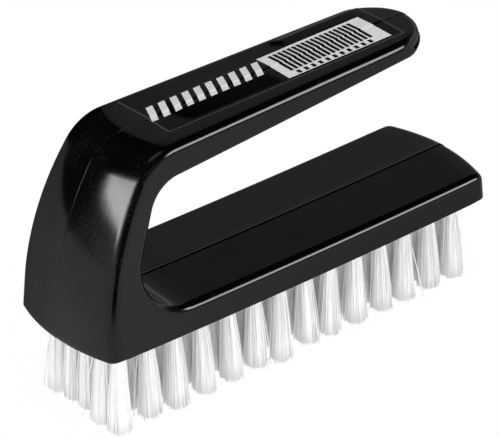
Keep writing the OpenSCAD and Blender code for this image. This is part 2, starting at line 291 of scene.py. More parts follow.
@dataclass(frozen=True)
class HandlingMarks:
    """The marks that handling leaves on smooth plastic, as a shader group.

    Attributes:
        speck_size: Width of the cells that the dust specks lie in.
        speck_amount: Share of the cells that hold one.
        speck_edge: Distances from a cell's middle between which a speck fades, as shares
            of its width.
        mottle_size: Width of the slow mottle.
        mottle_range: Levels of its noise between which it comes up.
        skin_size: Width of the faint unevenness of a moulded skin.
    """

    speck_size: float = 0.45 * MM
    speck_amount: float = 0.5
    speck_edge: tuple[float, float] = (0.1, 0.22)
    mottle_size: float = 9 * MM
    mottle_range: tuple[float, float] = (0.42, 0.66)
    skin_size: float = 1.6 * MM

    def build(self) -> bpy.types.NodeTree:
        """Build the group, whose first sizes a material may set for itself.

        A speck is the middle of a cell whose own random number is above 1 less the
        amount, and the mottle thins the specks out.

        Returns:
            The node group: a mask of the specks, the mottle from 0 to 1 and the skin's
            height.
        """
        group = bpy.data.node_groups.new("handling_marks", "ShaderNodeTree")
        group.interface.new_socket("Place", in_out="INPUT", socket_type="NodeSocketVector")
        for name, value in (
            ("Speck Size", self.speck_size),
            ("Speck Amount", self.speck_amount),
            ("Mottle Size", self.mottle_size),
        ):
            socket = group.interface.new_socket(name, in_out="INPUT", socket_type="NodeSocketFloat")
            socket.default_value = value
        for name in ("Specks", "Mottle", "Height"):
            group.interface.new_socket(name, in_out="OUTPUT", socket_type="NodeSocketFloat")
        nodes = Nodes(group)
        given = nodes.add("NodeGroupInput").outputs
        place = given["Place"]
        density = nodes.math("DIVIDE", 1.0, given["Speck Size"])
        cells = nodes.add("ShaderNodeTexVoronoi", {"feature": "F1"}, Vector=place, Scale=density).outputs
        chance = nodes.add("ShaderNodeSeparateColor", None, Color=cells["Color"]).outputs[0]
        picked = nodes.math("GREATER_THAN", chance, nodes.math("SUBTRACT", 1.0, given["Speck Amount"]))
        core = nodes.scale(cells["Distance"], *self.speck_edge, 1.0, 0.0)
        spacing = nodes.math("DIVIDE", 1.0, given["Mottle Size"])
        slow = nodes.add("ShaderNodeTexNoise", None, Vector=place, Scale=spacing, Detail=3.0)
        mottle = nodes.scale(slow.outputs["Fac"], *self.mottle_range, 0.0, 1.0)
        specks = nodes.math("MULTIPLY", nodes.math("MULTIPLY", core, picked), mottle)
        skin = nodes.noise(place, self.skin_size)
        nodes.add("NodeGroupOutput", None, Specks=specks, Mottle=mottle, Height=skin)
        return group


@dataclass(frozen=True)
class MouldedPlastic:
    """Glossy black plastic with a moulded skin, dust specks and light rubbing.

    Attributes:
        colour: Tone of the clean plastic.
        rubbed_colour: Tone where it is rubbed.
        dust_colour: Tone of a dust speck.
        bloom_colour: Tone of the dust that has settled on the riser and the shoulder.
        roughness_drift: How much the mottle dulls the gloss.
        dusty_roughness: How much the settled dust dulls it.
        dusty_reach: Places along the brush between which the settled dust thins out.
        dusty_rise: Heights between which it comes up.
        powder_size: Width of the cells of its specks.
        powder_amount: Share of those cells that hold one.
        powder_patches: Width of the patches that it lies in.
        powder_level: Level of the mottle from which a patch is full.
        thin_share: Share of the finest dust that lies between the patches.
        loose_share: Share of the powder's specks that lie outside the dusty zone.
        rub_range: Levels of the rubbing's noise between which it shows.
        grain_range: Levels of the finest dust's noise between which it shows.
        skin_height: Height of the moulded skin's unevenness.
    """

    colour: float = 0.001
    rubbed_colour: float = 0.004
    dust_colour: float = 0.05
    bloom_colour: float = 0.045
    specular: float = 0.3
    roughness: float = 0.08
    roughness_drift: float = 0.06
    dusty_roughness: float = 0.04
    dusty_reach: tuple[float, float] = (-54 * MM, -36 * MM)
    dusty_rise: tuple[float, float] = (37 * MM, 50 * MM)
    speck_size: float = 0.6 * MM
    speck_amount: float = 0.12
    powder_size: float = 0.42 * MM
    powder_amount: float = 0.6
    powder_patches: float = 14 * MM
    powder_level: float = 0.6
    thin_share: float = 0.35
    loose_share: float = 0.25
    rub_size: float = 0.5 * MM
    rub_range: tuple[float, float] = (0.5, 0.75)
    rub_strength: float = 0.6
    grain_size: float = 0.26 * MM
    grain_range: tuple[float, float] = (0.56, 0.76)
    grain_strength: float = 0.7
    skin_height: float = 0.008 * MM

    def settled_dust(self, nodes: Nodes, place: object,
                     marks: bpy.types.NodeTree) -> tuple[bpy.types.NodeSocket, bpy.types.NodeSocket]:
        """Dust that has settled on the riser and the shoulder.

        Its zone is the product of a fall along X and a rise along Z. The cover is the
        greater of the finest dust, a noise that is thinner between the patches, and the
        powder's specks, a share of which lie outside the zone too.

        Args:
            nodes: The material's nodes.
            place: Place on the brush.
            marks: The group of handling marks, for the powder.

        Returns:
            The zone and the cover, masks from 0 to 1.
        """
        parts = nodes.add("ShaderNodeSeparateXYZ", None, Vector=place).outputs
        high = nodes.scale(parts["Z"], *self.dusty_rise, 0.0, 1.0)
        zone = nodes.math("MULTIPLY", nodes.scale(parts["X"], *self.dusty_reach, 1.0, 0.0), high)
        powder = nodes.add(
            "ShaderNodeGroup", {"node_tree": marks}, Place=place, Speck_Size=self.powder_size,
            Speck_Amount=self.powder_amount, Mottle_Size=self.powder_patches,
        ).outputs
        patches = nodes.scale(powder["Mottle"], 0.0, self.powder_level, self.thin_share, 1.0)
        grain = nodes.noise(place, self.grain_size, detail=1.0)
        grain = nodes.scale(grain, *self.grain_range, 0.0, self.grain_strength)
        grain = nodes.math("MULTIPLY", nodes.math("MULTIPLY", grain, patches), zone)
        loose = nodes.scale(zone, 0.0, 1.0, self.loose_share, 1.0)
        loose = nodes.math("MULTIPLY", powder["Specks"], loose)
        return zone, nodes.math("MAXIMUM", grain, loose)

    def build(self, marks: bpy.types.NodeTree) -> bpy.types.Material:
        """Build the material.

        Args:
            marks: The group of handling marks.

        Returns:
            The material.
        """
        material, nodes, shader = new_material("black_moulded_plastic")
        place = nodes.add("ShaderNodeTexCoord").outputs["Object"]
        handled = nodes.add(
            "ShaderNodeGroup", {"node_tree": marks}, Place=place, Speck_Size=self.speck_size,
            Speck_Amount=self.speck_amount,
        ).outputs
        rubbed = nodes.noise(place, self.rub_size, detail=4.0)
        rubbed = nodes.scale(rubbed, *self.rub_range, 0.0, self.rub_strength)
        rubbed = nodes.math("MULTIPLY", handled["Mottle"], rubbed)
        zone, cover = self.settled_dust(nodes, place, marks)
        base = nodes.mix(rubbed, grey(self.colour), grey(self.rubbed_colour))
        base = nodes.mix(cover, base, grey(self.bloom_colour))
        base = nodes.mix(handled["Specks"], base, grey(self.dust_colour))
        duller = self.roughness + self.roughness_drift
        rough = nodes.scale(handled["Mottle"], 0.0, 1.0, self.roughness, duller)
        rough = nodes.math("ADD", rough, nodes.math("MULTIPLY", zone, self.dusty_roughness))
        bump = nodes.add("ShaderNodeBump", None, Height=handled["Height"], Distance=self.skin_height)
        nodes.feed(shader, Base_Color=base, Roughness=rough, Normal=bump.outputs["Normal"])
        nodes.feed(shader, Specular_IOR_Level=self.specular)
        return material


@dataclass(frozen=True)
class NylonFilament:
    """White nylon: every filament has its own tone, and a painted shade darkens it a little at its root,
    under the block.

    Attributes:
        pale: Colour of the palest filaments.
        deep: Colour of the deepest ones.
        root: Colour beside the block, a painted shade for the block's overhang.
        tone_share: Share of a filament's own tone in its colour. The rest is streaks.
        streak_draw: Scale of the streaks along the filaments.
        streak_range: Levels of the streaks' noise between which they come up.
        root_shade_reach: Share of the free length over which the painted shade at the root fades.
        roughness: Roughness of the middle tone.
        roughness_drift: How much rougher the darkest tone is, and smoother the palest.
    """

    pale: tuple[float, float, float, float] = (0.95, 0.95, 0.948, 1.0)
    deep: tuple[float, float, float, float] = (0.82, 0.82, 0.818, 1.0)
    root: tuple[float, float, float, float] = (0.84, 0.84, 0.838, 1.0)
    tone_share: float = 0.5
    streak_size: float = 0.5 * MM
    streak_draw: float = 0.06
    streak_range: tuple[float, float] = (0.38, 0.62)
    root_shade_reach: float = 0.16
    roughness: float = 0.42
    roughness_drift: float = 0.06
    specular: float = 0.4

    def build(self) -> bpy.types.Material:
        """Build the material, which reads the filaments' tone and run attributes.

        Returns:
            The material.
        """
        material, nodes, shader = new_material("white_nylon")
        tone = nodes.add("ShaderNodeAttribute", {"attribute_name": "tone"}).outputs["Fac"]
        run = nodes.add("ShaderNodeAttribute", {"attribute_name": "run"}).outputs["Fac"]
        place = nodes.add("ShaderNodeTexCoord").outputs["Object"]
        streak = nodes.streaks(place, (1.0, 1.0, self.streak_draw), self.streak_size)
        streak = nodes.scale(streak, *self.streak_range, 0.0, 1.0 - self.tone_share)
        blend = nodes.math("ADD", nodes.math("MULTIPLY", tone, self.tone_share), streak, clamp=True)
        base = nodes.mix(blend, self.deep, self.pale)
        # Painted shade: near the block the colour darkens to the root colour, as the block shades the
        # tufts.
        base = nodes.mix(nodes.scale(run, 0.0, self.root_shade_reach, 1.0, 0.0), base, self.root)
        dull = self.roughness + self.roughness_drift
        rough = nodes.scale(tone, 0.0, 1.0, dull, self.roughness - self.roughness_drift)
        nodes.feed(shader, Base_Color=base, Roughness=rough, Specular_IOR_Level=self.specular)
        return material


@dataclass(frozen=True)
class WireSteel:
    """Flat drawn steel wire with fine lengthwise lines.

    Attributes:
        bright: Colour of the brightest lines.
        dull: Colour of the dullest ones.
        line_draw: Scale of the lines along the wire.
        line_range: Levels of the lines' noise between which their colour changes.
        gloss_range: Levels of it between which their roughness changes.
        roughness: Roughness of the brightest lines.
        roughness_drift: How much rougher the dullest ones are.
    """

    bright: tuple[float, float, float, float] = (0.62, 0.62, 0.63, 1.0)
    dull: tuple[float, float, float, float] = (0.42, 0.42, 0.43, 1.0)
    line_size: float = 0.12 * MM
    line_draw: float = 0.08
    line_range: tuple[float, float] = (0.35, 0.65)
    gloss_range: tuple[float, float] = (0.3, 0.7)
    roughness: float = 0.32
    roughness_drift: float = 0.1

    def build(self) -> bpy.types.Material:
        """Build the material, whose lines run along X.

        Returns:
            The material.
        """
        material, nodes, shader = new_material("drawn_steel")
        place = nodes.add("ShaderNodeTexCoord").outputs["Object"]
        lines = nodes.streaks(place, (self.line_draw, 1.0, 1.0), self.line_size)
        base = nodes.mix(nodes.scale(lines, *self.line_range, 0.0, 1.0), self.dull, self.bright)
        dull = self.roughness + self.roughness_drift
        rough = nodes.scale(lines, *self.gloss_range, dull, self.roughness)
        nodes.feed(shader, Base_Color=base, Roughness=rough, Metallic=1.0)
        return material


# The moulded body


@dataclass(frozen=True)
class Corner:
    """A corner of the side profile on the parting line.

    Attributes:
        x: Its place along the brush.
        height: Its height above the underside of the block.
        bend: Radius that rounds it.
        steps: Faces round the bend.
        blended: Whether the long edge's radius passes over the bend from that of the face
            before it to that of the face after it, or takes the greater of the two.
    """

    x: float
    height: float
    bend: float
    steps: int
    blended: bool = True


@dataclass(frozen=True)
class Face:
    """The face of the body that follows a corner of the side profile.

    Attributes:
        fall: How far its sides lie below the parting line.
        bulge: How far its middle stands out from its sides, seen from above.
        nose: Length of the rounded nose that closes it, or none.
        edge_start: Radius of its long edges where it starts.
        edge_end: Radius of its long edges where it ends.
        points: Extra points along its straight stretch.
        step: How far its -Y half lies below its +Y half.
        lip: How far the rounded lip of its higher half drops at the parting line.
        groove: Depth of the groove along the foot of its parting step.
        ease: How far its sides sink on top of their fall, nearly all of it by the edge.
        flash: Height of the thin ridge that the mould leaves on the edge of its higher half.
    """

    fall: float
    bulge: float
    nose: float
    edge_start: float
    edge_end: float
    points: int
    step: float = 0.15 * MM
    lip: float = 0.1 * MM
    groove: float = 0.0
    ease: float = 0.0
    flash: float = 0.0


@dataclass
class MouldedBody:
    """Block, riser and handle in one moulding, lofted level by level across Y.

    The side profile is a ring of corners joined by straight faces. A level is a place
    between the parting line and a side, and there each face is set in from the profile
    by its fall, its bulge, its nose and the rounding of its edges.

    Attributes:
        end_bulge: How far the middle of each end stands out from its sides.
        block_camber: How far the ends of the block lift.
        knee_height: Height where the riser starts to lean in.
        root_height: Height of the handle's top where it leaves the shoulder.
        handle_reach: Place of the handle's tip along X.
        riser_foot: Thickness of the riser where it meets the block's top.
        riser_head: The same where it meets the handle's underside.
        foot_step: Parting step at the block's end, and riser_step the same on the riser.
        groove_shape: Places across a groove with the share of its depth that it has there.
        drape_width: Width over which a film drapes over the parting step.
        ease_power: Power of the share of the half width that a face's ease grows with.
        least_bend: Least radius that a corner keeps.
        room_share: Share of a face that the bends at its two ends may take.
        bristle_length: Height of the block's underside above the bristle tips.
        cap_shares: Rows of the grid that closes each side, from the rim to the rim.
        sharp_angle: Angle from which an edge is shaded sharp.
    """

    block_length: float = 116.4 * MM
    block_width: float = 38 * MM
    block_thickness: float = 7.9 * MM
    end_bulge: float = 3.4 * MM
    block_camber: float = 0.7 * MM
    block_edge: float = 1.8 * MM
    end_edge: float = 2.9 * MM
    upright_edge: float = 2 * MM
    under_edge: float = 0.5 * MM
    knee_height: float = 26.8 * MM
    knee_setback: float = 2.2 * MM
    knee_bend: float = 74 * MM
    shoulder_setback: float = 16.8 * MM
    shoulder_bend: float = 13 * MM
    side_lean: float = math.radians(5)
    root_height: float = 48.5 * MM
    handle_rise: float = 1.5 * MM
    handle_reach: float = 49.3 * MM
    tip_thickness: float = 5 * MM
    root_thickness: float = 8.8 * MM
    nose_length: float = 13.7 * MM
    handle_taper: float = math.radians(1.6)
    handle_edge: float = 2 * MM
    tip_edge: float = 2 * MM
    grip_edge: float = 1.3 * MM
    tip_upper_bend: float = 2.8 * MM
    tip_lower_bend: float = 2 * MM
    riser_foot: float = 9.8 * MM
    riser_head: float = 22.2 * MM
    foot_bend: float = 11.9 * MM
    head_bend: float = 8.8 * MM
    inner_edge: float = 2 * MM
    block_crown: float = 0.55 * MM
    handle_crown: float = 0.4 * MM
    parting_step: float = 0.15 * MM
    foot_step: float = 0.012 * MM
    riser_step: float = 0.12 * MM
    lip_width: float = 0.1 * MM
    flash_width: float = 0.5 * MM
    block_flash: float = 0.11 * MM
    handle_groove: float = 0.2 * MM
    handle_ease: float = 0.12 * MM
    groove_width: float = 0.55 * MM
    groove_depth: float = 0.36 * MM
    groove_shape: tuple[tuple[float, float], ...] = (
        (0.0, 1.0), (0.4, 1.0), (0.7, 1.0), (0.82, 0.7), (0.93, 0.12), (1.0, 0.0),
    )
    drape_width: float = 0.3 * MM
    ease_power: int = 8
    least_bend: float = 0.3 * MM
    room_share: float = 0.98
    bristle_length: float = 22.4 * MM
    flat_levels: int = 10
    edge_levels: int = 9
    parting_levels: int = 5
    cap_shares: tuple[float, ...] = (0.03, 0.5, 0.97)
    sharp_angle: float = math.radians(38)

    def __post_init__(self) -> None:
        """Work out the profile's corners and faces from the sizes."""
        self.half_length = self.block_length / 2
        self.half_width = self.block_width / 2
        bulge_x = self.half_length + self.end_bulge
        self.shoulder_x = self.shoulder_setback - bulge_x
        self.head_x = self.riser_head - bulge_x
        self.tip_top = self.root_height + self.handle_rise
        self.handle_span = self.handle_reach - self.shoulder_x
        head_bottom = float(self.crest_at(self.head_x)) - self.root_thickness
        tip_bottom = self.tip_top - self.tip_thickness
        self.corners = (
            Corner(bulge_x, 0.0, self.under_edge, 6, False),
            Corner(-bulge_x, 0.0, self.under_edge, 4, False),
            Corner(self.knee_setback - bulge_x, self.knee_height, self.knee_bend, 24),
            Corner(self.shoulder_x, self.root_height, self.shoulder_bend, 24),
            Corner(self.handle_reach, self.tip_top, self.tip_upper_bend, 8),
            Corner(self.handle_reach, tip_bottom, self.tip_lower_bend, 8),
            Corner(self.head_x, head_bottom, self.head_bend, 24),
            Corner(self.riser_foot - bulge_x, self.block_thickness, self.foot_bend, 24),
            Corner(bulge_x, self.block_thickness, self.end_edge, 6, False),
        )
        crown = self.handle_crown
        upright = self.upright_edge
        self.faces = (
            Face(0.0, 0.0, 0.0, self.under_edge, self.under_edge, 26),
            Face(0.0, self.end_bulge, 0.0, upright, upright, 3, self.foot_step, self.foot_step),
            Face(
                0.0, self.end_bulge, 0.0, upright, self.handle_edge, 2,
                self.riser_step, self.riser_step,
            ),
            Face(
                crown, 0.0, 0.0, self.handle_edge, self.tip_edge, 24,
                self.parting_step, self.lip_width, self.handle_groove, self.handle_ease,
            ),
            Face(0.0, 0.0, self.nose_length, self.tip_edge, self.grip_edge, 0),
            Face(crown, 0.0, 0.0, self.grip_edge, self.grip_edge, 24),
            Face(crown, 0.0, 0.0, self.inner_edge, self.inner_edge, 10),
            Face(
                self.block_crown, 0.0, 0.0, self.inner_edge, self.block_edge, 26,
                self.parting_step, 0.0, self.groove_depth, flash=self.block_flash,
            ),
            Face(0.0, self.end_bulge, 0.0, upright, upright, 0),
        )

    def crest_at(self, x: float | np.ndarray) -> float | np.ndarray:
        """Height of the handle's top on the parting line: it rises evenly to the tip."""
        return self.root_height + self.handle_rise * (x - self.shoulder_x) / self.handle_span

    def width_at(self, x: np.ndarray, z: np.ndarray) -> np.ndarray:
        """Half the body's width at x and height z above the underside.

        The sides lean in with height, and above the block they also close in along X
        towards the tip, by the tangent of the taper times the share of the height.

        Args:
            x: Places along the brush.
            z: Heights above the underside.

        Returns:
            The half widths.
        """
        rise = np.maximum(0.0, z - self.block_thickness) / (self.tip_top - self.block_thickness)
        taper = math.tan(self.handle_taper) * (x - self.head_x) * rise
        return self.half_width - math.tan(self.side_lean) * z - taper

    def camber_at(self, x: np.ndarray, z: np.ndarray) -> np.ndarray:
        """Lift of the ends: the square of x, fading to none at the handle's height."""
        fade = np.maximum(0.0, 1.0 - z / self.tip_top)
        return self.block_camber * (x / self.half_length) ** 2 * fade

    def parting(self, share: np.ndarray) -> np.ndarray:
        """How far each face lies in along the parting line.

        The -Y half lies in by the step and by its groove, whose depth is read off its
        shape. The +Y half lies in by its lip times 1 - sqrt(1 - (1 - y / width)^2), a
        quarter round, and stands out by its flash times 1 - y / width.

        Args:
            share: Signed shares of the half width, whose zero has its half's sign too.

        Returns:
            Depths, levels by faces.
        """
        y = np.abs(share)[:, None] * self.half_width
        step, lip, groove, flash = np.array([[f.step, f.lip, f.groove, f.flash] for f in self.faces]).T
        dip = step + groove * np.interp(y / self.groove_width, *np.array(self.groove_shape).T)
        back = np.clip(1.0 - y / self.lip_width, 0.0, 1.0)
        drop = lip * (1.0 - np.sqrt(1.0 - back * back))
        drop = drop - flash * np.clip(1.0 - y / self.flash_width, 0.0, 1.0)
        return np.where(np.signbit(share)[:, None], dip, drop)

    def levels(self) -> tuple[np.ndarray, np.ndarray]:
        """Places of the levels, from the -Y side to the +Y side.

        Returns:
            Signed shares of the flat half width, and angles round the long edges. Both
            halves start at the parting line, by the places of the groove's shape or by
            1 - cos(90 k / n) over the lip and the edge of the flash, and go on as
            sin(90 k / n) out to 1. The angles are zero as far as the long edge.
        """
        round_lip = 1.0 - np.cos(np.linspace(0.0, math.pi / 2, self.parting_levels))
        round_edge = math.pi / 2 * np.linspace(0.0, 1.0, self.edge_levels + 1)[1:]
        groove = np.array(self.groove_shape)[:, 0]
        halves = []
        for side, places in (
            (Side.NEAR, self.groove_width * groove),
            (Side.FAR, np.append(self.lip_width * round_lip, self.flash_width)),
        ):
            shares = {
                Station.PARTING: places / self.half_width,
                Station.FLAT: np.sin(np.linspace(0.0, math.pi / 2, self.flat_levels + 1)[1:]),
                Station.EDGE: np.ones(self.edge_levels),
            }
            share = side.value * np.concatenate([shares[s] for s in Station])
            angle = np.concatenate([np.zeros(len(share) - self.edge_levels), round_edge])
            halves.append(np.stack([share, angle]))
        near, far = halves
        share, angle = np.concatenate([near[:, ::-1], far], axis=1)
        return share, angle

    def inset(self, share: np.ndarray, angle: np.ndarray, edge: np.ndarray,
              places: np.ndarray) -> np.ndarray:
        """How far every face lies in from the profile at one of its two corners.

        It lies in by fall f + bulge f^2 + ease f^p, where p is the ease's power, plus its
        nose length times 1 - sqrt(1 - f^2) or its edge radius times 1 - cos of the angle,
        and by its part at the parting line. f is the share of the half width less the
        part that the rounded edge takes.

        Args:
            share: Signed shares of the half width.
            angle: Angles round the long edges.
            edge: Radius of each face's long edges at the corner.
            places: The faces' corners.

        Returns:
            Depths, levels by faces.
        """
        fall, bulge, ease, nose = np.array([[f.fall, f.bulge, f.ease, f.nose] for f in self.faces]).T
        turned = angle[:, None]
        half = self.width_at(places[:, 0], places[:, 1])
        out = np.minimum(1.0, np.abs(share)[:, None] * (1.0 - edge / half * (1.0 - np.sin(turned))))
        rounding = edge * (1.0 - np.cos(turned))
        closing = nose * (1.0 - np.sqrt(1.0 - out * out))
        sunk = fall * out + bulge * out**2 + ease * out**self.ease_power
        return sunk + np.where(nose > 0, closing, rounding) + self.parting(share)

    def bends(self, share: np.ndarray, angle: np.ndarray, edge_start: np.ndarray,
              edge_end: np.ndarray) -> list[np.ndarray]:
        """Arcs that round the corners of the profile at every level.

        The faces, once set in, meet at new corners, and each is rounded by an arc of its
        bend radius less what was taken in, or plus it inside a hollow, as far as its
        faces have room.

        Args:
            share: Signed shares of the half width.
            angle: Angles round the long edges.
            edge_start: Radius of each face's long edges where it starts.
            edge_end: The same where it ends.

        Returns:
            One arc a corner: places, levels by points by 2.
        """
        at = np.array([[c.x, c.height] for c in self.corners])
        ahead = np.roll(at, -1, axis=0)
        along = unit(ahead - at)
        inward = np.stack([along[:, 1], -along[:, 0]], axis=-1)
        d0 = self.inset(share, angle, edge_start, at)
        d1 = self.inset(share, angle, edge_end, ahead)
        a = at + inward * d0[..., None]
        run = ahead + inward * d1[..., None] - a
        a_back = np.roll(a, 1, axis=1)
        run_back = np.roll(run, 1, axis=1)
        reach = cross2(a - a_back, run) / cross2(run_back, run)
        q = a_back + run_back * reach[..., None]
        gap = np.roll(q, -1, axis=1) - q
        u = unit(gap)
        u_back = np.roll(u, 1, axis=1)
        turn = np.arctan2(cross2(u_back, u), (u_back * u).sum(-1))
        take = np.minimum(np.roll(d1, 1, axis=1), d0)
        wanted = np.array([c.bend for c in self.corners])
        wish = np.where(turn < 0, np.maximum(wanted - take, self.least_bend), wanted + take)
        tangent = wish * np.tan(np.abs(turn) / 2)
        length = np.linalg.norm(gap, axis=-1)
        room = np.minimum(1.0, self.room_share * length / (tangent + np.roll(tangent, -1, axis=1)))
        radius = wish * np.minimum(room, np.roll(room, 1, axis=1))
        normal = np.sign(turn)[..., None] * np.stack([-u_back[..., 1], u_back[..., 0]], axis=-1)
        back = radius * np.tan(np.abs(turn) / 2)
        centre = q - u_back * back[..., None] + normal * radius[..., None]
        start = np.arctan2(-normal[..., 1], -normal[..., 0])
        arcs = []
        for i, corner in enumerate(self.corners):
            t = np.linspace(0.0, 1.0, corner.steps + 1)
            sweep = start[:, i, None] + turn[:, i, None] * t
            arc = np.stack([np.cos(sweep), np.sin(sweep)], axis=-1)
            arcs.append(centre[:, i, None] + radius[:, i, None, None] * arc)
        return arcs

    def rings(self) -> np.ndarray:
        """Loft the side profile over all levels at once.

        A ring is the corners' arcs joined by straight stretches. Its y is the level's
        share of the half width less the edge's radius times 1 - sin of the angle, and
        the radius passes along each face, and over a blended bend, in even steps.

        Returns:
            Places with the shape levels, points of a ring, 3.
        """
        share, angle = self.levels()
        edge_start, edge_end = np.array([[f.edge_start, f.edge_end] for f in self.faces]).T
        arcs = self.bends(share, angle, edge_start, edge_end)
        parts = []
        radii = []
        for i, (corner, face) in enumerate(zip(self.corners, self.faces)):
            t = np.linspace(0.0, 1.0, corner.steps + 1)
            before, after = edge_end[i - 1], edge_start[i]
            blend = before + (after - before) * t
            radii.append(blend if corner.blended else np.full_like(t, max(before, after)))
            t = np.linspace(0.0, 1.0, face.points + 2)[1:-1]
            radii.append(edge_start[i] + (edge_end[i] - edge_start[i]) * t)
            first = arcs[i][:, -1, None]
            last = arcs[(i + 1) % len(arcs)][:, 0, None]
            parts += [arcs[i], first + (last - first) * t[:, None]]
        flat = np.concatenate(parts, axis=1)
        edge = np.concatenate(radii)
        x, z = flat[..., 0], flat[..., 1]
        y = share[:, None] * (self.width_at(x, z) - edge * (1.0 - np.sin(angle[:, None])))
        return np.stack([x, y, z + self.camber_at(x, z)], axis=-1)

    def cap(self, ring: np.ndarray, side: Side, first: int,
            start: int) -> tuple[np.ndarray, list[np.ndarray]]:
        """Close a side by a grid between its ring's outer run and its inner run.

        Point k of the ring's n points stands against point n - 1 - k, and the rows
        between the two runs lie at the cap's shares of the way.

        Args:
            ring: Places of the ring.
            side: The side that it lies on, which says how the faces go round.
            first: Index of the ring's first vertex.
            start: Index of the grid's own first vertex.

        Returns:
            Places of the grid's own vertices, and arrays of faces.
        """
        outer = np.arange(len(ring) // 2)
        inner = len(ring) - 1 - outer
        way = np.array(self.cap_shares)[:, None, None]
        middle = (ring[outer] + (ring[inner] - ring[outer]) * way)[:, 1:-1]
        rows, columns = middle.shape[:2]
        index = start + np.arange(rows * columns).reshape(rows, columns)
        grid = np.vstack([first + outer[1:-1], index, first + inner[1:-1]])
        head = np.concatenate([[first + outer[0]], grid[:, 0], [first + inner[0]]])
        foot = np.concatenate([[first + outer[-1]], grid[:, -1], [first + inner[-1]]])
        if side is Side.FAR:
            faces = [quads(grid), head[None, ::-1], foot[None, :]]
        else:
            faces = [quads(grid)[:, ::-1], head[None, :], foot[None, ::-1]]
        return middle.reshape(-1, 3), faces

    def build(self, material: bpy.types.Material) -> bpy.types.Object:
        """Build the skin, close its sides and return the piece.

        Args:
            material: The plastic.

        Returns:
            The body's skin, its underside at the bristles' length above the floor.
        """
        rings = self.rings()
        levels, count = rings.shape[:2]
        points = [rings.reshape(-1, 3)]
        faces = [band(levels, count, True)]
        total = levels * count
        for side, level in ((Side.NEAR, 0), (Side.FAR, levels - 1)):
            middle, closing = self.cap(rings[level], side, level * count, total)
            points.append(middle)
            faces += closing
            total += len(middle)
        places = np.concatenate(points) + (0.0, 0.0, self.bristle_length)
        piece = mesh_piece("moulded_body", places, faces)
        faces_out(piece)
        piece.data.set_sharp_from_angle(angle=self.sharp_angle)
        dress(piece, material)
        return piece

    def handle_top(self, x: np.ndarray, y: np.ndarray) -> np.ndarray:
        """Height of the handle's top under a film that drapes over the parting step.

        It is the crest less the crown's even fall, less the ease, which grows with the
        share of the half width to its power, and less a smooth step down to the -Y half,
        with the camber of the whole brush added.

        Args:
            x: Places along the brush.
            y: Places across it.

        Returns:
            Heights above the floor.
        """
        crest = self.crest_at(x)
        share = np.abs(y) / self.width_at(x, crest)
        fall = self.handle_crown * share + self.handle_ease * share**self.ease_power
        drape = self.parting_step * (1.0 - smooth(y / self.drape_width + 1.0))
        top = crest - fall - drape + self.camber_at(x, crest)
        return self.bristle_length + top


# The label


@dataclass(frozen=True)
class Patch:
    """A rectangle of print on the label, in the brush's own x and y."""

    x0: float
    x1: float
    y0: float
    y1: float

    def mask(self, nodes: Nodes, x: object, y: object) -> bpy.types.NodeSocket:
        """Compare a place with the rectangle's middle, within half its sizes.

        Args:
            nodes: The material's nodes.
            x: Place along the brush.
            y: Place across it.

        Returns:
            A mask, 1 inside the rectangle and 0 outside it.
        """
        across = nodes.math("COMPARE", x, (self.x0 + self.x1) / 2)
        across.node.inputs[2].default_value = (self.x1 - self.x0) / 2
        along = nodes.math("COMPARE", y, (self.y0 + self.y1) / 2)
        along.node.inputs[2].default_value = (self.y1 - self.y0) / 2
        return nodes.math("MULTIPLY", across, along)


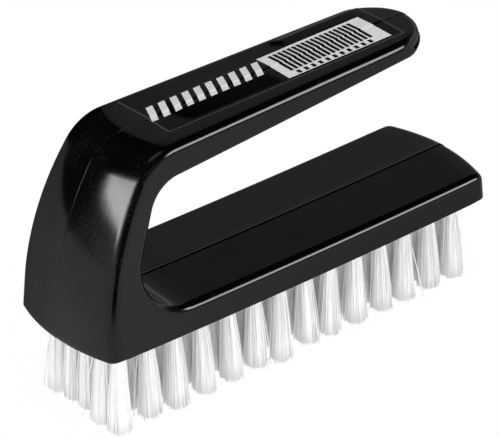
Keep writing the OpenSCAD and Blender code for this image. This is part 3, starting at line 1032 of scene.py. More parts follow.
@dataclass(frozen=True)
class PrintedFilm:
    """Black film with a pale panel of plain even bars and a row of slanted stripes.

    Attributes:
        bars: Where the bars stand on the panel, and dots the same for the row of blocks.
        crease_highlight: A faint straight line in the film beside the stripes, a painted highlight where a
            crease catches the light.
        bar_share: Share of its pitch that a bar takes, and so for dots and stripes.
        stripe_slant: How far the stripes lean along X for each step across the film.
        ink: Tone of the black print.
        pale: Tone of the panel and the stripes.
        edge: Tone of the film's cut edge, a painted highlight of the light that the edge catches.
        crease_highlight_tone: Tone of the crease's painted highlight.
        dust: Tone of a dust speck.
        roughness_drift: How much the mottle dulls the gloss.
    """

    panel: Patch = Patch(5.6 * MM, 37.7 * MM, -7.2 * MM, 5.5 * MM)
    bars: Patch = Patch(8.2 * MM, 34.4 * MM, -4.7 * MM, 4.6 * MM)
    dots: Patch = Patch(9.0 * MM, 33.6 * MM, -6.85 * MM, -5.3 * MM)
    stripes: Patch = Patch(-30.5 * MM, 4.5 * MM, -2 * MM, 4.4 * MM)
    crease_highlight: Patch = Patch(-24 * MM, 3.7 * MM, 4.75 * MM, 4.9 * MM)
    bar_count: int = 18
    dot_count: int = 11
    stripe_count: int = 10
    bar_share: float = 0.68
    dot_share: float = 0.5
    stripe_share: float = 0.56
    stripe_slant: float = 0.45
    ink: float = 0.001
    pale: float = 0.6
    edge: float = 0.07
    crease_highlight_tone: float = 0.035
    dust: float = 0.05
    speck_size: float = 1.0 * MM
    speck_amount: float = 0.12
    specular: float = 0.17
    roughness: float = 0.05
    roughness_drift: float = 0.04

    def comb(self, nodes: Nodes, x: object, area: Patch, count: int,
             share: float) -> bpy.types.NodeSocket:
        """Cut an area into even teeth along x.

        Args:
            nodes: The material's nodes.
            x: Place along the label.
            area: The area that the teeth fill.
            count: Number of teeth.
            share: Share of each pitch that a tooth takes.

        Returns:
            A mask, 1 where the fractional part of the place in pitches is below the share.
        """
        pitch = (area.x1 - area.x0) / count
        place = nodes.math("DIVIDE", nodes.math("SUBTRACT", x, area.x0), pitch)
        return nodes.math("LESS_THAN", nodes.math("FRACT", place), share)

    def build(self, marks: bpy.types.NodeTree) -> bpy.types.Material:
        """Build the material.

        Args:
            marks: The group of handling marks.

        Returns:
            The material.
        """
        material, nodes, shader = new_material("printed_film")
        place = nodes.add("ShaderNodeTexCoord").outputs["Object"]
        parts = nodes.add("ShaderNodeSeparateXYZ", None, Vector=place).outputs
        x, y = parts["X"], parts["Y"]
        slanted = nodes.math("SUBTRACT", x, nodes.math("MULTIPLY", y, self.stripe_slant))
        masks = []
        for area, along, count, share in (
            (self.bars, x, self.bar_count, self.bar_share),
            (self.dots, x, self.dot_count, self.dot_share),
            (self.stripes, slanted, self.stripe_count, self.stripe_share),
        ):
            teeth = self.comb(nodes, along, area, count, share)
            masks.append(nodes.math("MULTIPLY", area.mask(nodes, along, y), teeth))
        bars, dots, stripes = masks
        dark = nodes.math("MAXIMUM", bars, dots)
        printed = nodes.math("SUBTRACT", self.panel.mask(nodes, x, y), dark, clamp=True)
        printed = nodes.math("MAXIMUM", printed, stripes)
        cut = nodes.add("ShaderNodeAttribute", {"attribute_name": "cut_edge_highlight"}).outputs["Fac"]
        handled = nodes.add(
            "ShaderNodeGroup", {"node_tree": marks}, Place=place, Speck_Size=self.speck_size,
            Speck_Amount=self.speck_amount,
        ).outputs
        # Painted highlight: a light straight line where the film is creased.
        base = nodes.mix(self.crease_highlight.mask(nodes, x, y), grey(self.ink), grey(self.crease_highlight_tone))
        base = nodes.mix(printed, base, grey(self.pale))
        # Painted highlight: the cut edge, and the rim of the face by a share, are lightened to the edge
        # tone.
        base = nodes.mix(cut, base, grey(self.edge))
        base = nodes.mix(handled["Specks"], base, grey(self.dust))
        duller = self.roughness + self.roughness_drift
        rough = nodes.scale(handled["Mottle"], 0.0, 1.0, self.roughness, duller)
        nodes.feed(shader, Base_Color=base, Roughness=rough, Specular_IOR_Level=self.specular)
        return material


@dataclass(frozen=True)
class Puff:
    """Air under the film: a ridge of even slopes.

    Attributes:
        area: The rectangle that it lies in.
        crest: Place of its crest across the film.
        height: Height of its crest.
    """

    area: Patch
    crest: float
    height: float


@dataclass
class FilmLabel:
    """Printed film stuck on the handle's top, with rounded corners and cut edges.

    Attributes:
        near: From the parting line to the film's -Y edge.
        margin: From the film's +Y edge to the rounded edge of the handle.
        setback: From the handle's tip to the film's end.
        glue_line: Height of the film's under side above the handle.
        drape_rows: Rows of the grid where the film drapes over the parting step.
        rim_highlight: Share of the cut edge's painted highlight that the rim of the film's face has.
        puffs: A low blister under the stripes and a fold beside the panel.
        fade: Length over which a puff comes up and goes down at its two ends.
        sharp_angle: Angle from which an edge is shaded sharp.
    """

    body: MouldedBody
    length: float = 72.6 * MM
    near: float = 8.1 * MM
    margin: float = 0.6 * MM
    setback: float = 8.1 * MM
    thickness: float = 0.12 * MM
    glue_line: float = 0.03 * MM
    corner: float = 0.5 * MM
    bevel: float = 0.02 * MM
    columns: int = 90
    rows: int = 48
    drape_rows: int = 4
    rim_highlight: float = 0.6
    puffs: tuple[Puff, ...] = (
        Puff(Patch(-26 * MM, 7 * MM, -7.3 * MM, 5.5 * MM), -1.6 * MM, 0.26 * MM),
        Puff(Patch(12 * MM, 42 * MM, 4.6 * MM, 11 * MM), 9 * MM, 0.4 * MM),
    )
    fade: float = 4 * MM
    sharp_angle: float = math.radians(35)

    def far(self, x: np.ndarray) -> np.ndarray:
        """Place of the +Y edge, which keeps to the taper of the handle."""
        width = self.body.width_at(x, self.body.crest_at(x))
        return width - self.body.handle_edge - self.margin

    def sheet(self, inset: float) -> tuple[np.ndarray, np.ndarray]:
        """Places of a rounded sheet over the label's area, drawn in by an inset.

        Across the film the rows lie at -cos(180 j / n) of the way from the parting line
        to either edge, with a few more where the film drapes over the step. A row within
        the corner radius r of an edge ends short by r - sqrt(r^2 - (r - d)^2), where d
        is its distance from that edge.

        Args:
            inset: How far the sheet's edge is drawn in.

        Returns:
            The x and y of the sheet's grid, rows by columns.
        """
        end = self.body.handle_reach - self.setback - inset
        start = self.body.handle_reach - self.setback - self.length + inset
        near = self.near - inset
        drape = np.linspace(-self.body.drape_width / near, 0.0, self.drape_rows)
        way = np.union1d(-np.cos(np.linspace(0.0, math.pi, self.rows)), drape)
        reach = np.where(way < 0.0, near, float(self.far((start + end) / 2)) - inset)
        distance = (1.0 - np.abs(way)) * reach
        radius = self.corner - inset
        gap = np.clip(radius - distance, 0.0, radius)
        short = radius - np.sqrt(radius * radius - gap * gap)
        along = np.linspace(0.0, 1.0, self.columns + 1)
        x = (start + short)[:, None] + (end - start - 2 * short)[:, None] * along
        way = way[:, None]
        return x, np.where(way < 0.0, way * near, way * (self.far(x) - inset))

    def relief(self, x: np.ndarray, y: np.ndarray) -> np.ndarray:
        """Height of the air under the film.

        A puff rises evenly from its near edge to its crest, falls evenly to its far edge,
        and comes up and goes down by a smooth step over the fade at its two ends.

        Args:
            x: Places along the brush.
            y: Places across it.

        Returns:
            The heights.
        """
        height = np.zeros_like(x)
        for puff in self.puffs:
            area = puff.area
            rise = (y - area.y0) / (puff.crest - area.y0)
            fall = (area.y1 - y) / (area.y1 - puff.crest)
            across = np.clip(np.minimum(rise, fall), 0.0, 1.0)
            ends = smooth((x - area.x0) / self.fade) * smooth((area.x1 - x) / self.fade)
            height = height + puff.height * across * ends
        return height

    def layer(self, inset: float, lift: float) -> np.ndarray:
        """Places of one layer of the film.

        Args:
            inset: How far its edge is drawn in.
            lift: Its height above the film's under side.

        Returns:
            Places, rows by columns by 3.
        """
        x, y = self.sheet(inset)
        height = self.body.handle_top(x, y) + self.relief(x, y) + self.glue_line + lift
        return np.stack([x, y, height], axis=-1)

    def build(self, material: bpy.types.Material) -> bpy.types.Object:
        """Build the closed film: its under side, its bevelled cut edge and its face.

        Args:
            material: The printed film.

        Returns:
            The label, with its cut_edge_highlight attribute, which marks the painted highlight along the
            cut edge.
        """
        layers = (
            self.layer(0.0, 0.0),
            self.layer(0.0, self.thickness - self.bevel),
            self.layer(self.bevel, self.thickness),
        )
        rows, columns = layers[0].shape[:2]
        size = rows * columns
        index = np.arange(size).reshape(rows, columns)
        rim = np.concatenate([index[0, :-1], index[:-1, -1], index[-1, :0:-1], index[:0:-1, 0]])
        under = layers[0].reshape(-1, 3)
        middle = layers[1].reshape(-1, 3)[rim]
        face = layers[2].reshape(-1, 3)
        mid = size + np.arange(len(rim))
        high = size + len(rim) + rim
        strips = [
            np.stack([a, np.roll(a, -1), np.roll(b, -1), b], axis=-1)
            for a, b in ((rim, mid), (mid, high))
        ]
        grids = [band(rows, columns, False)[:, ::-1], band(rows, columns, False, size + len(rim))]
        piece = mesh_piece("film_label", np.concatenate([under, middle, face]), grids + strips)
        faces_out(piece)
        # Mask of the painted highlight: full on the cut edge, a share on the face's rim.
        cut = np.zeros(len(piece.data.vertices))
        cut[mid] = 1.0
        cut[rim] = 1.0
        cut[high] = self.rim_highlight
        paint(piece, "cut_edge_highlight", cut)
        piece.data.set_sharp_from_angle(angle=self.sharp_angle)
        dress(piece, material)
        return piece


# The tufts


@dataclass
class TuftField:
    """Fourteen columns of tufts of nylon filament, each folded over its wire anchor.

    Attributes:
        end_margin: From the block's end to the middle of its first tufts.
        side_margin: From the block's side to the middle of its outer tufts.
        tip_spread: Width of a tuft at its tips.
        bundled_length: Length below the block over which a tuft stays one round bundle.
        fold_height: Height of the filaments' fold over the anchor.
        clearance: Room between a filament and what it passes.
        end_lean: How far the tips of the riser's end column lean out.
        end_lean_share: Share of the other tufts' chance lean that this column has.
        folds: Folded filaments in a tuft.
        free_shares: Stations along a leg, as shares of its free length.
        arch_angles: Stations round the fold, in degrees.
        early_spread: How much faster than evenly a leg spreads at first.
        tip_scatter: Usual scatter of the tips within a tuft.
        tuft_lean: Usual chance lean of a tuft's tips, along X and along Y.
        bow: Usual bow of a leg.
        ragged: Usual unevenness of the cut.
        slant: Usual slope of the cut over a tuft.
        trim: Least height of the cut, and end_trim the same for the end column.
        trim_scatter: How much higher it may be, and the end column has a share of it.
        low_trims: Tufts that are cut shorter: column, row and by how much.
        stray_share: Share of the legs that stray.
        stray_throw: How far they usually stray.
        stray_rise: How much shorter they are.
        core_share: Width of a tuft's solid middle as a share of its own.
        core_rise: How far the middle's foot is drawn up from the tips.
        core_root: How far it reaches up into the hole from its first ring.
        core_tone: Its tone between the deepest and the palest filament.
        seed: Seed of the first column. Each column after it adds one.
    """

    body: MouldedBody
    rows: int = 5
    columns: int = 14
    end_margin: float = 6 * MM
    side_margin: float = 6.6 * MM
    hole_diameter: float = 3.2 * MM
    hole_depth: float = 5.6 * MM
    tip_spread: float = 6.4 * MM
    bundled_length: float = 0.8 * MM
    anchor_thickness: float = 0.35 * MM
    fold_height: float = 1 * MM
    clearance: float = 0.05 * MM
    end_lean: float = 1 * MM
    end_lean_share: float = 0.4
    folds: int = 60
    thickness: float = 0.28 * MM
    sides: int = 4
    free_shares: tuple[float, ...] = (0.0, 0.2, 0.45, 0.72, 1.0)
    arch_angles: tuple[float, ...] = (0.0, 45.0, 90.0, 135.0, 180.0)
    early_spread: float = 0.4
    tip_scatter: float = 0.22 * MM
    tuft_lean: tuple[float, float] = (0.45 * MM, 0.315 * MM)
    bow: float = 0.12 * MM
    ragged: float = 0.084 * MM
    slant: float = 0.13
    trim: float = 0.3 * MM
    end_trim: float = 0.05 * MM
    trim_scatter: float = 0.3 * MM
    end_scatter_share: float = 0.3
    low_trims: tuple[tuple[int, int, float], ...] = (
        (5, 0, 0.5 * MM),
        (7, 0, 0.5 * MM),
        (0, 2, 0.6 * MM),
        (0, 3, 0.4 * MM),
    )
    stray_share: float = 0.015
    stray_throw: float = 1.3 * MM
    stray_rise: float = 0.25 * MM
    core_share: float = 0.82
    end_core_share: float = 0.9
    core_rise: float = 0.35 * MM
    core_root: float = 1.2 * MM
    core_sides: int = 20
    core_tone: float = 0.5
    seed: int = 20

    def place(self, column: int, row: int) -> tuple[float, float]:
        """Middle of a tuft: columns and rows are evenly spaced between the margins.

        Args:
            column: Number of the column, from the riser's end.
            row: Number of the row, from the -Y side.

        Returns:
            Its x and y.
        """
        pitch_x = (self.body.block_length - 2 * self.end_margin) / (self.columns - 1)
        pitch_y = (self.body.block_width - 2 * self.side_margin) / (self.rows - 1)
        x = self.end_margin - self.body.half_length + column * pitch_x
        y = self.side_margin - self.body.half_width + row * pitch_y
        return x, y

    def roots(self) -> np.ndarray:
        """Places of the folded filaments in half of a hole.

        Filament i of n lies at the radius R sqrt((i + 1/2) / n) and at the angle 180
        degrees times the fractional part of i times the golden ratio, then its y is
        drawn out to clear the anchor.

        Returns:
            x and y from the middle of the hole, one row a filament.
        """
        i = np.arange(self.folds)
        reach = self.hole_diameter / 2 - self.clearance - self.thickness / 2
        radius = reach * np.sqrt((i + 0.5) / self.folds)
        angle = math.pi * np.mod(i * (1 + math.sqrt(5)) / 2, 1.0)
        gap = (self.anchor_thickness + self.thickness) / 2 + self.clearance
        return np.stack([radius * np.cos(angle), gap + radius * np.sin(angle) * (1 - gap / reach)], axis=-1)

    def legs(self, rng: np.random.Generator, roots: np.ndarray, column: int, row: int) -> np.ndarray:
        """Free ends of the filaments of one tuft, from the block down to the tips.

        A leg leaves the bundle at its root place, and its offset grows as
        (1 + e) u - e u^2 of its throw, where u is the share of its free length and e the
        early spread, with a slight bow of 4 u (1 - u). The tips spread in proportion to
        the roots, with scatter, a lean of the whole tuft and a few strays, and end at a
        slightly slanted, ragged cut.

        Args:
            rng: Source of the random draws.
            roots: Root places of both legs, legs by filaments by 2.
            column: Number of the column, which leans out at the riser's end.
            row: Number of the row.

        Returns:
            Places relative to the tuft's middle, legs by filaments by stations by 3.
        """
        lean = rng.normal(0.0, 1.0, 2) * self.tuft_lean
        cut = rng.uniform(0.0, 1.0) * self.trim_scatter + self.trim
        slope = rng.normal(0.0, self.slant, 2)
        if column == 0:
            lean = lean * self.end_lean_share - (self.end_lean, 0.0)
            cut = self.end_trim + rng.uniform(0.0, self.end_scatter_share) * self.trim_scatter
        cut += sum(extra for c, r, extra in self.low_trims if (c, r) == (column, row))
        shape = roots.shape[:2]
        spread = self.tip_spread / self.hole_diameter
        throw = roots * (spread - 1.0) + lean + rng.normal(0.0, self.tip_scatter, shape + (2,))
        stray = rng.uniform(size=shape) < self.stray_share
        throw = throw + np.where(stray[..., None], rng.normal(0.0, self.stray_throw, shape + (2,)), 0.0)
        bow = rng.normal(0.0, self.bow, shape + (2,))
        u = np.array(self.free_shares)[None, None, :, None]
        spread_share = (1.0 + self.early_spread) * u - self.early_spread * u * u
        offset = throw[:, :, None] * spread_share + bow[:, :, None] * 4 * u * (1 - u)
        flat = roots[:, :, None] + offset
        tips = cut + (roots @ slope) + np.abs(rng.normal(0.0, self.ragged, shape))
        tips = np.maximum(tips, self.end_trim) + np.where(stray, self.stray_rise, 0.0)
        top = self.body.bristle_length - self.bundled_length
        height = top + (tips[:, :, None] - top) * u[..., 0]
        return np.concatenate([flat, height[..., None]], axis=-1)

    def core(self, legs: np.ndarray, share: float) -> np.ndarray:
        """Rings of the solid middle of a tuft, which stands in for its inner filaments.

        A ring lies round the mean of the legs at its station, and its radius is a share
        of sqrt(2) times their root mean square distance from it. The first ring is
        repeated inside the hole, and the last is drawn up from the tips.

        Args:
            legs: Free ends of the tuft's filaments.
            share: Share of the tuft's width that the core takes.

        Returns:
            Places, rings by sides by 3.
        """
        free = legs.reshape(-1, *legs.shape[2:])
        middle = free.mean(axis=0)
        spread = np.sqrt(2.0 * ((free - middle)[..., :2] ** 2).sum(-1).mean(axis=0))
        turn = 2 * math.pi * np.arange(self.core_sides) / self.core_sides
        ring = np.stack([np.cos(turn), np.sin(turn), 0.0 * turn], axis=-1)
        rings = middle[:, None] + share * spread[:, None, None] * ring
        rings[-1, :, 2] += self.core_rise
        root = rings[0] + (0.0, 0.0, self.core_root)
        return np.concatenate([root[None], rings])

    def paths(self, rng: np.random.Generator,
              column: int) -> tuple[np.ndarray, np.ndarray, np.ndarray]:
        """Middle lines of every folded filament in a column, and its tufts' cores.

        A filament runs up one leg, over the anchor in half an ellipse, and down the
        other leg, which is the mirror of the first across the anchor.

        Args:
            rng: Source of the random draws.
            column: Number of the column.

        Returns:
            Places, filaments by stations by 3, how far each station is out along its
            leg, from 0 in the hole to 1 at the tip, and the cores, tufts by rings by
            sides by 3.
        """
        root = self.roots()
        both = np.stack([root, root * (1.0, -1.0)])
        fold = self.body.bristle_length + self.hole_depth - self.fold_height
        apex = self.thickness / 2 + (self.fold_height - self.thickness - self.clearance) * (
            root[:, 1] / root[:, 1].max()
        )
        turn = np.radians(self.arch_angles)
        arch = np.stack(
            [
                np.repeat(root[:, 0, None], len(turn), axis=1),
                root[:, 1, None] * np.cos(turn),
                fold + apex[:, None] * np.sin(turn),
            ],
            axis=-1,
        )
        lines = []
        cores = []
        share = self.core_share if column else self.end_core_share
        for row in range(self.rows):
            legs = self.legs(rng, both, column, row)
            line = np.concatenate([legs[0][:, ::-1], arch, legs[1]], axis=1)
            middle = (*self.place(column, row), 0.0)
            lines.append(line + middle)
            cores.append(self.core(legs, share) + middle)
        free = np.array(self.free_shares)
        run = np.concatenate([free[::-1], np.zeros(len(turn)), free])
        return np.concatenate(lines), run, np.array(cores)

    def build(self, column: int, material: bpy.types.Material) -> bpy.types.Object:
        """Build the tufts of one column as closed tubes along the filaments' lines.

        A ring stands square to its line: one axis is X less its part along the line,
        and the other is the cross product of the line and the first.

        Args:
            column: Number of the column.
            material: The nylon.

        Returns:
            The column's tufts in one piece, with their tone and run attributes.
        """
        rng = np.random.default_rng(self.seed + column)
        lines, run, cores = self.paths(rng, column)
        count, stations = lines.shape[:2]
        along = unit(np.gradient(lines, axis=1))
        first = unit(np.array([1.0, 0.0, 0.0]) - along * along[..., :1])
        second = np.cross(along, first)
        turn = 2 * math.pi * np.arange(self.sides) / self.sides
        radius = self.thickness / 2
        ring = first[:, :, None] * np.cos(turn)[:, None] + second[:, :, None] * np.sin(turn)[:, None]
        points = lines[:, :, None] + radius * ring
        tube = band(stations, self.sides, True)
        step = stations * self.sides
        starts = step * np.arange(count)[:, None, None]
        tubes = (starts + tube[None]).reshape(-1, 4)
        ends = step * np.arange(count)[:, None] + np.arange(self.sides)[None, ::-1]
        others = ends[:, ::-1] + (stations - 1) * self.sides
        rings, sides = cores.shape[1:3]
        first_core = step * count + rings * sides * np.arange(len(cores))[:, None, None]
        sleeves = (first_core + band(rings, sides, True)[None]).reshape(-1, 4)
        tops = first_core[:, 0] + np.arange(sides)[None, ::-1]
        tips = tops[:, ::-1] + (rings - 1) * sides
        places = np.concatenate([points.reshape(-1, 3), cores.reshape(-1, 3)])
        faces = [tubes, ends, others, sleeves, tops, tips]
        piece = mesh_piece(f"nylon_tufts_{column + 1:02d}", places, faces)
        faces_out(piece)
        tone = np.repeat(rng.uniform(0.0, 1.0, count), step)
        paint(piece, "tone", np.concatenate([tone, np.full(cores.size // 3, self.core_tone)]))
        # The run, 0 at the root, also places the nylon's painted shade beside the block.
        outward = np.repeat(np.concatenate([[0.0], self.free_shares]), sides)
        run = np.tile(np.repeat(run, self.sides), count)
        paint(piece, "run", np.concatenate([run, np.tile(outward, len(cores))]))
        dress(piece, material)
        return piece


# The studio


@dataclass(frozen=True)
class SoftPanel:
    """A softbox of the room: a slanted band of light with soft edges.

    Its directions are azimuths, in degrees from +X towards +Y, and elevations above the
    floor. Its edges are smooth steps, and between two azimuths its lower and its upper
    edge run straight from one elevation to another.

    Attributes:
        radiance: Brightness of its face.
        starts: Azimuths between which it comes up.
        ends: Azimuths between which it fades.
        span: Azimuths where the elevations of its edges are given.
        low: Elevations of the middle of its lower edge.
        high: Elevations of the middle of its upper edge.
        soft: Height of its soft lower and upper edges.
    """

    radiance: float
    starts: tuple[float, float]
    ends: tuple[float, float]
    span: tuple[float, float]
    low: tuple[float, float]
    high: tuple[float, float]
    soft: float

    def glow(self, nodes: Nodes, azimuth: object, elevation: object) -> bpy.types.NodeSocket:
        """The panel's brightness in a direction, the product of its four edges.

        Args:
            nodes: The world's nodes.
            azimuth: Azimuth of the direction, in degrees.
            elevation: Elevation of it, in degrees.

        Returns:
            The brightness.
        """
        value = nodes.scale(azimuth, *self.starts, 0.0, self.radiance, "SMOOTHSTEP")
        fade = nodes.scale(azimuth, *self.ends, 1.0, 0.0, "SMOOTHSTEP")
        value = nodes.math("MULTIPLY", value, fade)
        half = self.soft / 2
        for edge, sign in ((self.low, 1.0), (self.high, -1.0)):
            place = nodes.scale(azimuth, *self.span, *edge)
            above = nodes.math("MULTIPLY", nodes.math("SUBTRACT", elevation, place), sign)
            value = nodes.math("MULTIPLY", value, nodes.scale(above, -half, half, 0.0, 1.0, "SMOOTHSTEP"))
        return value


@dataclass(frozen=True)
class SoftLamp:
    """A broad lamp aimed at the brush, which glossy surfaces don't show.

    Attributes:
        azimuth: Where it stands, in degrees from +X towards +Y.
        elevation: Its height above the floor, in degrees.
        distance: How far it stands from the brush.
        width: Its size across.
        height: Its size upwards.
        radiance: Brightness of its face.
    """

    azimuth: float
    elevation: float
    distance: float
    width: float
    height: float
    radiance: float

    def build(self, name: str) -> None:
        """Build the lamp, whose power is its radiance times pi times its area.

        Args:
            name: Name of the lamp.
        """
        light = bpy.data.lights.new(name, "AREA")
        light.shape = "RECTANGLE"
        light.size = self.width
        light.size_y = self.height
        light.energy = self.radiance * math.pi * self.width * self.height
        a, e = math.radians(self.azimuth), math.radians(self.elevation)
        way = np.array([math.cos(a) * math.cos(e), math.sin(a) * math.cos(e), math.sin(e)])
        right = np.array([-math.sin(a), math.cos(a), 0.0])
        matrix = np.eye(4)
        matrix[:3] = np.stack([right, np.cross(way, right), way, way * self.distance], axis=-1)
        lamp = bpy.data.objects.new(name, light)
        lamp.matrix_world = Matrix(matrix.tolist())
        lamp.visible_camera = False
        lamp.visible_glossy = False
        bpy.context.scene.collection.objects.link(lamp)


@dataclass
class Studio:
    """Lit table, room with soft panels, lamps, a painted shade that reflections see, camera.

    Attributes:
        azimuth: The camera's azimuth from -Y towards +X.
        pan: How far the picture is moved right and up, at the brush.
        focal_pixels: Focal length in pixels of the picture.
        floor_rings: Radii of the floor's rings, from the outside in.
        floor_glow: Share of plain white in what the camera and reflections see of it.
        table_glow: The same in what lights the brush from below.
        horizon: Elevations and levels of the pale band, and horizon_round its azimuths
            and levels.
        haze: The same of the dim light above it, with haze_round.
        floor_round: Azimuths about the riser's foot and the floor's level in reflections.
        shade_centre: Place of the riser's foot along X.
        shade_near: First and last radius of the shade's inner rings and their number.
        shade_far: The same of its outer rings, which widen by one ratio.
        floor_shade: Radii between which the shade comes up.
        front_round: Azimuths of the dark strip at the front: its start, full, full, end.
        front_shade: Radii between which the strip comes up.
        zenith_edge: Elevations between which the round panel overhead comes up.
        panel_share: Share of the panels' light that matt surfaces get.
    """

    azimuth: float = math.radians(-37.431)
    elevation: float = math.radians(30.131)
    roll: float = math.radians(-2.365)
    pan: tuple[float, float] = (2.265 * MM, -8.168 * MM)
    distance: float = 743.6 * MM
    focal_pixels: float = 3016.8
    frame_width: int = 500
    sensor: float = 36.0
    clip: tuple[float, float] = (0.01, 100.0)
    floor_rings: tuple[float, ...] = (30.0, 1.0, 0.001)
    floor_colour: float = 0.95
    floor_roughness: float = 0.9
    floor_specular: float = 0.1
    floor_glow: float = 0.98
    table_glow: float = 0.71
    horizon: tuple[tuple[float, float], ...] = (
        (0.0, 1.0), (7.0, 1.0), (12.0, 0.55), (16.0, 0.12), (20.0, 0.0), (90.0, 0.0),
    )
    horizon_round: tuple[tuple[float, float], ...] = (
        (0.0, 0.75), (12.0, 0.5), (20.0, 0.4), (60.0, 0.35), (66.0, 0.0), (138.0, 0.0),
        (150.0, 0.15), (166.0, 0.7), (180.0, 0.9), (205.0, 0.9), (215.0, 0.5), (222.0, 0.3), (228.0, 0.0),
        (256.0, 0.0), (262.0, 1.0), (300.0, 1.0), (330.0, 0.8), (360.0, 0.75),
    )
    haze: tuple[tuple[float, float], ...] = (
        (0.0, 0.0), (12.0, 0.0), (18.0, 0.18), (26.0, 0.22), (30.0, 0.21), (32.5, 0.21),
        (34.0, 0.15), (36.0, 0.0), (90.0, 0.0),
    )
    haze_round: tuple[tuple[float, float], ...] = (
        (0.0, 0.4), (20.0, 1.0), (56.5, 1.0), (59.5, 0.0), (136.0, 0.0), (150.0, 0.2), (170.0, 0.8),
        (185.0, 0.8), (200.0, 0.1), (252.0, 0.1), (262.0, 1.0), (300.0, 1.0), (330.0, 0.5),
        (360.0, 0.4),
    )
    floor_round: tuple[tuple[float, float], ...] = (
        (0.0, 0.4), (20.0, 0.1), (50.0, 0.05), (75.0, 0.06), (95.0, 0.15), (105.0, 0.26),
        (115.0, 0.36), (125.0, 0.52), (131.0, 0.66), (147.0, 0.85), (160.0, 0.95),
        (303.0, 0.95), (345.0, 0.5), (360.0, 0.4),
    )
    shade_colour: float = 0.003
    shade_height: float = 0.5 * MM
    shade_centre: float = -60 * MM
    shade_near: tuple[float, float, int] = (0.01, 0.35, 35)
    shade_far: tuple[float, float, int] = (0.4, 20.0, 12)
    shade_columns: int = 145
    floor_shade: tuple[float, float] = (0.02, 0.045)
    front_round: tuple[float, float, float, float] = (222.0, 229.0, 255.0, 262.0)
    front_shade: tuple[float, float] = (0.07, 0.2)
    panels: tuple[SoftPanel, ...] = (
        SoftPanel(17.0, (292.0, 300.0), (320.0, 330.0), (295.0, 325.0), (22.0, 33.0), (33.0, 43.5), 8.0),
        SoftPanel(16.0, (151.0, 157.0), (178.0, 215.0), (154.0, 180.0), (20.5, 13.0), (27.0, 32.5), 5.0),
        SoftPanel(0.9, (150.0, 156.0), (196.0, 224.0), (154.0, 180.0), (18.0, 8.0), (33.0, 39.0), 4.0),
    )
    zenith_radiance: float = 0.8
    zenith_edge: tuple[float, float] = (72.0, 77.0)
    panel_share: float = 0.36
    fill: SoftLamp = SoftLamp(261.0, 22.0, 1.5, 3.0, 0.5, 4.0)
    overhead: SoftLamp = SoftLamp(261.0, 90.0, 1.5, 1.0, 1.0, 3.9)

    def camera(self, base: float) -> None:
        """Build the camera from its angles, its distance and its pan.

        Args:
            base: Height of the point that the angles are measured about.
        """
        a, e, r = self.azimuth, self.elevation, self.roll
        back = np.array([math.sin(a) * math.cos(e), -math.cos(a) * math.cos(e), math.sin(e)])
        right = np.array([math.cos(a), math.sin(a), 0.0])
        level = np.stack([right, np.cross(back, right), back])
        tilt = np.array([[math.cos(r), math.sin(r), 0], [-math.sin(r), math.cos(r), 0], [0, 0, 1]])
        axes = tilt @ level
        place = axes.T @ np.array([-self.pan[0], -self.pan[1], self.distance])
        place = place + (0.0, 0.0, base)
        data = bpy.data.cameras.new("camera")
        data.sensor_width = self.sensor
        data.lens = self.focal_pixels * self.sensor / self.frame_width
        data.clip_start, data.clip_end = self.clip
        camera = bpy.data.objects.new("camera", data)
        matrix = np.eye(4)
        matrix[:3, :3] = axes.T
        matrix[:3, 3] = place
        camera.matrix_world = Matrix(matrix.tolist())
        bpy.context.scene.collection.objects.link(camera)
        bpy.context.scene.camera = camera

    def world(self) -> None:
        """Build the room, seen by everything but the camera.

        A pale band at the horizon and a dim haze above it each vary round the brush, and
        the soft panels and a round panel overhead are added to them. Matt surfaces get a
        share of the soft panels' light, and glossy ones show them in full.
        """
        world = bpy.data.worlds.new("studio")
        world.use_nodes = True
        bpy.context.scene.world = world
        nodes = Nodes(world.node_tree)
        way = nodes.add("ShaderNodeTexCoord").outputs["Generated"]
        parts = nodes.add("ShaderNodeSeparateXYZ", None, Vector=way).outputs
        degrees = 180.0 / math.pi
        turn = nodes.math("MULTIPLY", nodes.math("ARCTAN2", parts["Y"], parts["X"]), degrees)
        azimuth = nodes.math("FLOORED_MODULO", turn, 360.0)
        elevation = nodes.math("MULTIPLY", nodes.math("ARCSINE", parts["Z"]), degrees)
        level = nodes.scale(elevation, *self.zenith_edge, 0.0, self.zenith_radiance, "SMOOTHSTEP")
        for up, across in ((self.horizon, self.horizon_round), (self.haze, self.haze_round)):
            layer = nodes.math(
                "MULTIPLY",
                nodes.ramp(elevation, 0.0, 90.0, up),
                nodes.ramp(azimuth, 0.0, 360.0, across),
            )
            level = nodes.math("ADD", level, layer)
        rays = nodes.add("ShaderNodeLightPath").outputs
        share = nodes.scale(rays["Is Glossy Ray"], 0.0, 1.0, self.panel_share, 1.0)
        for panel in self.panels:
            glow = nodes.math("MULTIPLY", panel.glow(nodes, azimuth, elevation), share)
            level = nodes.math("ADD", level, glow)
        level = nodes.mix(rays["Is Camera Ray"], level, grey(1.0))
        nodes.feed(world.node_tree.nodes["Background"], Color=level)

    def sweep(self, name: str, profile: tuple[tuple[float, float], ...],
              columns: int = 73, centre: float = 0.0) -> bpy.types.Object:
        """Sweep a profile of radii and heights about an upright axis.

        Its places are (c + r cos t, r sin t, z) for the centre c and the profile's r and
        z, and t goes round in equal steps.

        Args:
            name: Name of the surface.
            profile: Radii and heights.
            columns: Places round the axis, the first of them again at the end.
            centre: Place of the axis along X.

        Returns:
            The surface, which isn't part of the brush.
        """
        turn = np.radians(np.linspace(0.0, 360.0, columns))[None, :]
        radius, height = np.array(profile).T[..., None]
        x = centre + radius * np.cos(turn)
        places = np.stack([x, radius * np.sin(turn), height + 0 * turn], axis=-1)
        piece = mesh_piece(name, places.reshape(-1, 3), [band(len(profile), columns, False)])
        return piece

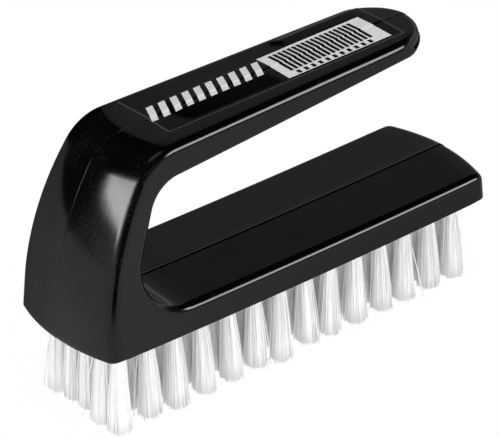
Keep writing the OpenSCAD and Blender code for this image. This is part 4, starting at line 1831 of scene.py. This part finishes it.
    def floor(self) -> None:
        """Build the floor, a table lit from below that reads as white for the camera."""
        floor = self.sweep("floor", tuple((radius, 0.0) for radius in self.floor_rings))
        material, nodes, shader = new_material("floor_white")
        nodes.feed(shader, Base_Color=grey(self.floor_colour), Roughness=self.floor_roughness)
        nodes.feed(shader, Specular_IOR_Level=self.floor_specular)
        rays = nodes.add("ShaderNodeLightPath").outputs
        seen = nodes.math("MAXIMUM", rays["Is Camera Ray"], rays["Is Glossy Ray"])
        seen = nodes.math("MAXIMUM", seen, rays["Is Transmission Ray"])
        glow = nodes.add("ShaderNodeEmission", None, Color=grey(1.0), Strength=1.0)
        share = nodes.scale(seen, 0.0, 1.0, self.table_glow, self.floor_glow)
        mixed = nodes.add("ShaderNodeMixShader", None, _0=share, _1=shader.outputs[0], _2=glow.outputs[0])
        nodes.feed(nodes.tree.nodes["Material Output"], Surface=mixed.outputs[0])
        dress(floor, material)

    def shade(self) -> None:
        """Build the painted shade on the floor, a dark sheet that only reflections see.

        Its cover is one less the floor's level for the azimuth about the riser's foot,
        and full in the dark strip at the front, each brought up over a stretch of the
        radius.
        """
        radius = np.concatenate([np.linspace(*self.shade_near), np.geomspace(*self.shade_far)])
        azimuths = np.linspace(0.0, 360.0, self.shade_columns)
        profile = tuple((r, self.shade_height) for r in radius)
        card = self.sweep("floor_shade", profile, self.shade_columns, self.shade_centre)
        place, level = np.array(self.floor_round).T
        start, rise = self.floor_shade
        dim = (1.0 - np.interp(azimuths, place, level)) * smooth((radius - start) / (rise - start))[:, None]
        a0, a1, a2, a3 = self.front_round
        strip = smooth((azimuths - a0) / (a1 - a0)) * smooth((a3 - azimuths) / (a3 - a2))
        start, rise = self.front_shade
        strip = strip * smooth((radius - start) / (rise - start))[:, None]
        paint(card, "cover", np.maximum(dim, strip))
        material, nodes, shader = new_material("floor_shade_black")
        nodes.feed(shader, Base_Color=grey(self.shade_colour), Roughness=1.0, Specular_IOR_Level=0.0)
        cover = nodes.add("ShaderNodeAttribute", {"attribute_name": "cover"}).outputs["Fac"]
        clear = nodes.add("ShaderNodeBsdfTransparent").outputs[0]
        mixed = nodes.add("ShaderNodeMixShader", None, _0=cover, _1=clear, _2=shader.outputs[0])
        nodes.feed(nodes.tree.nodes["Material Output"], Surface=mixed.outputs[0])
        dress(card, material)
        card.visible_camera = False
        card.visible_diffuse = False
        card.visible_shadow = False

    def build(self, base: float) -> None:
        """Build everything that isn't the brush.

        Args:
            base: Height of the point that the camera's angles are measured about.
        """
        bpy.context.scene.view_settings.view_transform = "Standard"
        self.camera(base)
        self.world()
        self.floor()
        self.shade()
        self.fill.build("fill")
        self.overhead.build("overhead")


def main() -> None:
    """Build the brush in order: body, label, tufts, anchors, and then the studio."""
    logging.basicConfig(level=logging.INFO, format="%(message)s")
    marks = HandlingMarks().build()
    body = MouldedBody()
    piece = body.build(MouldedPlastic().build(marks))
    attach(piece, ROOT)
    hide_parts("body")
    log.info("%s: %d faces", piece.name, len(piece.data.polygons))

    label = FilmLabel(body).build(PrintedFilm().build(marks))
    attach(label, ROOT)
    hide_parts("label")
    log.info("%s: %d faces", label.name, len(label.data.polygons))

    nylon = NylonFilament().build()
    field_of_tufts = TuftField(body)
    for column in range(field_of_tufts.columns):
        tufts = field_of_tufts.build(column, nylon)
        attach(tufts, ROOT)
        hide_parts(f"tufts_{column + 1:02d}")
        log.info("%s: %d faces", tufts.name, len(tufts.data.polygons))

    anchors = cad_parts["anchors"]
    dress(anchors, WireSteel().build())
    log.info("anchors: the packed node in drawn steel")

    Studio().build(body.bristle_length)


if __name__ == "__main__":
    main()
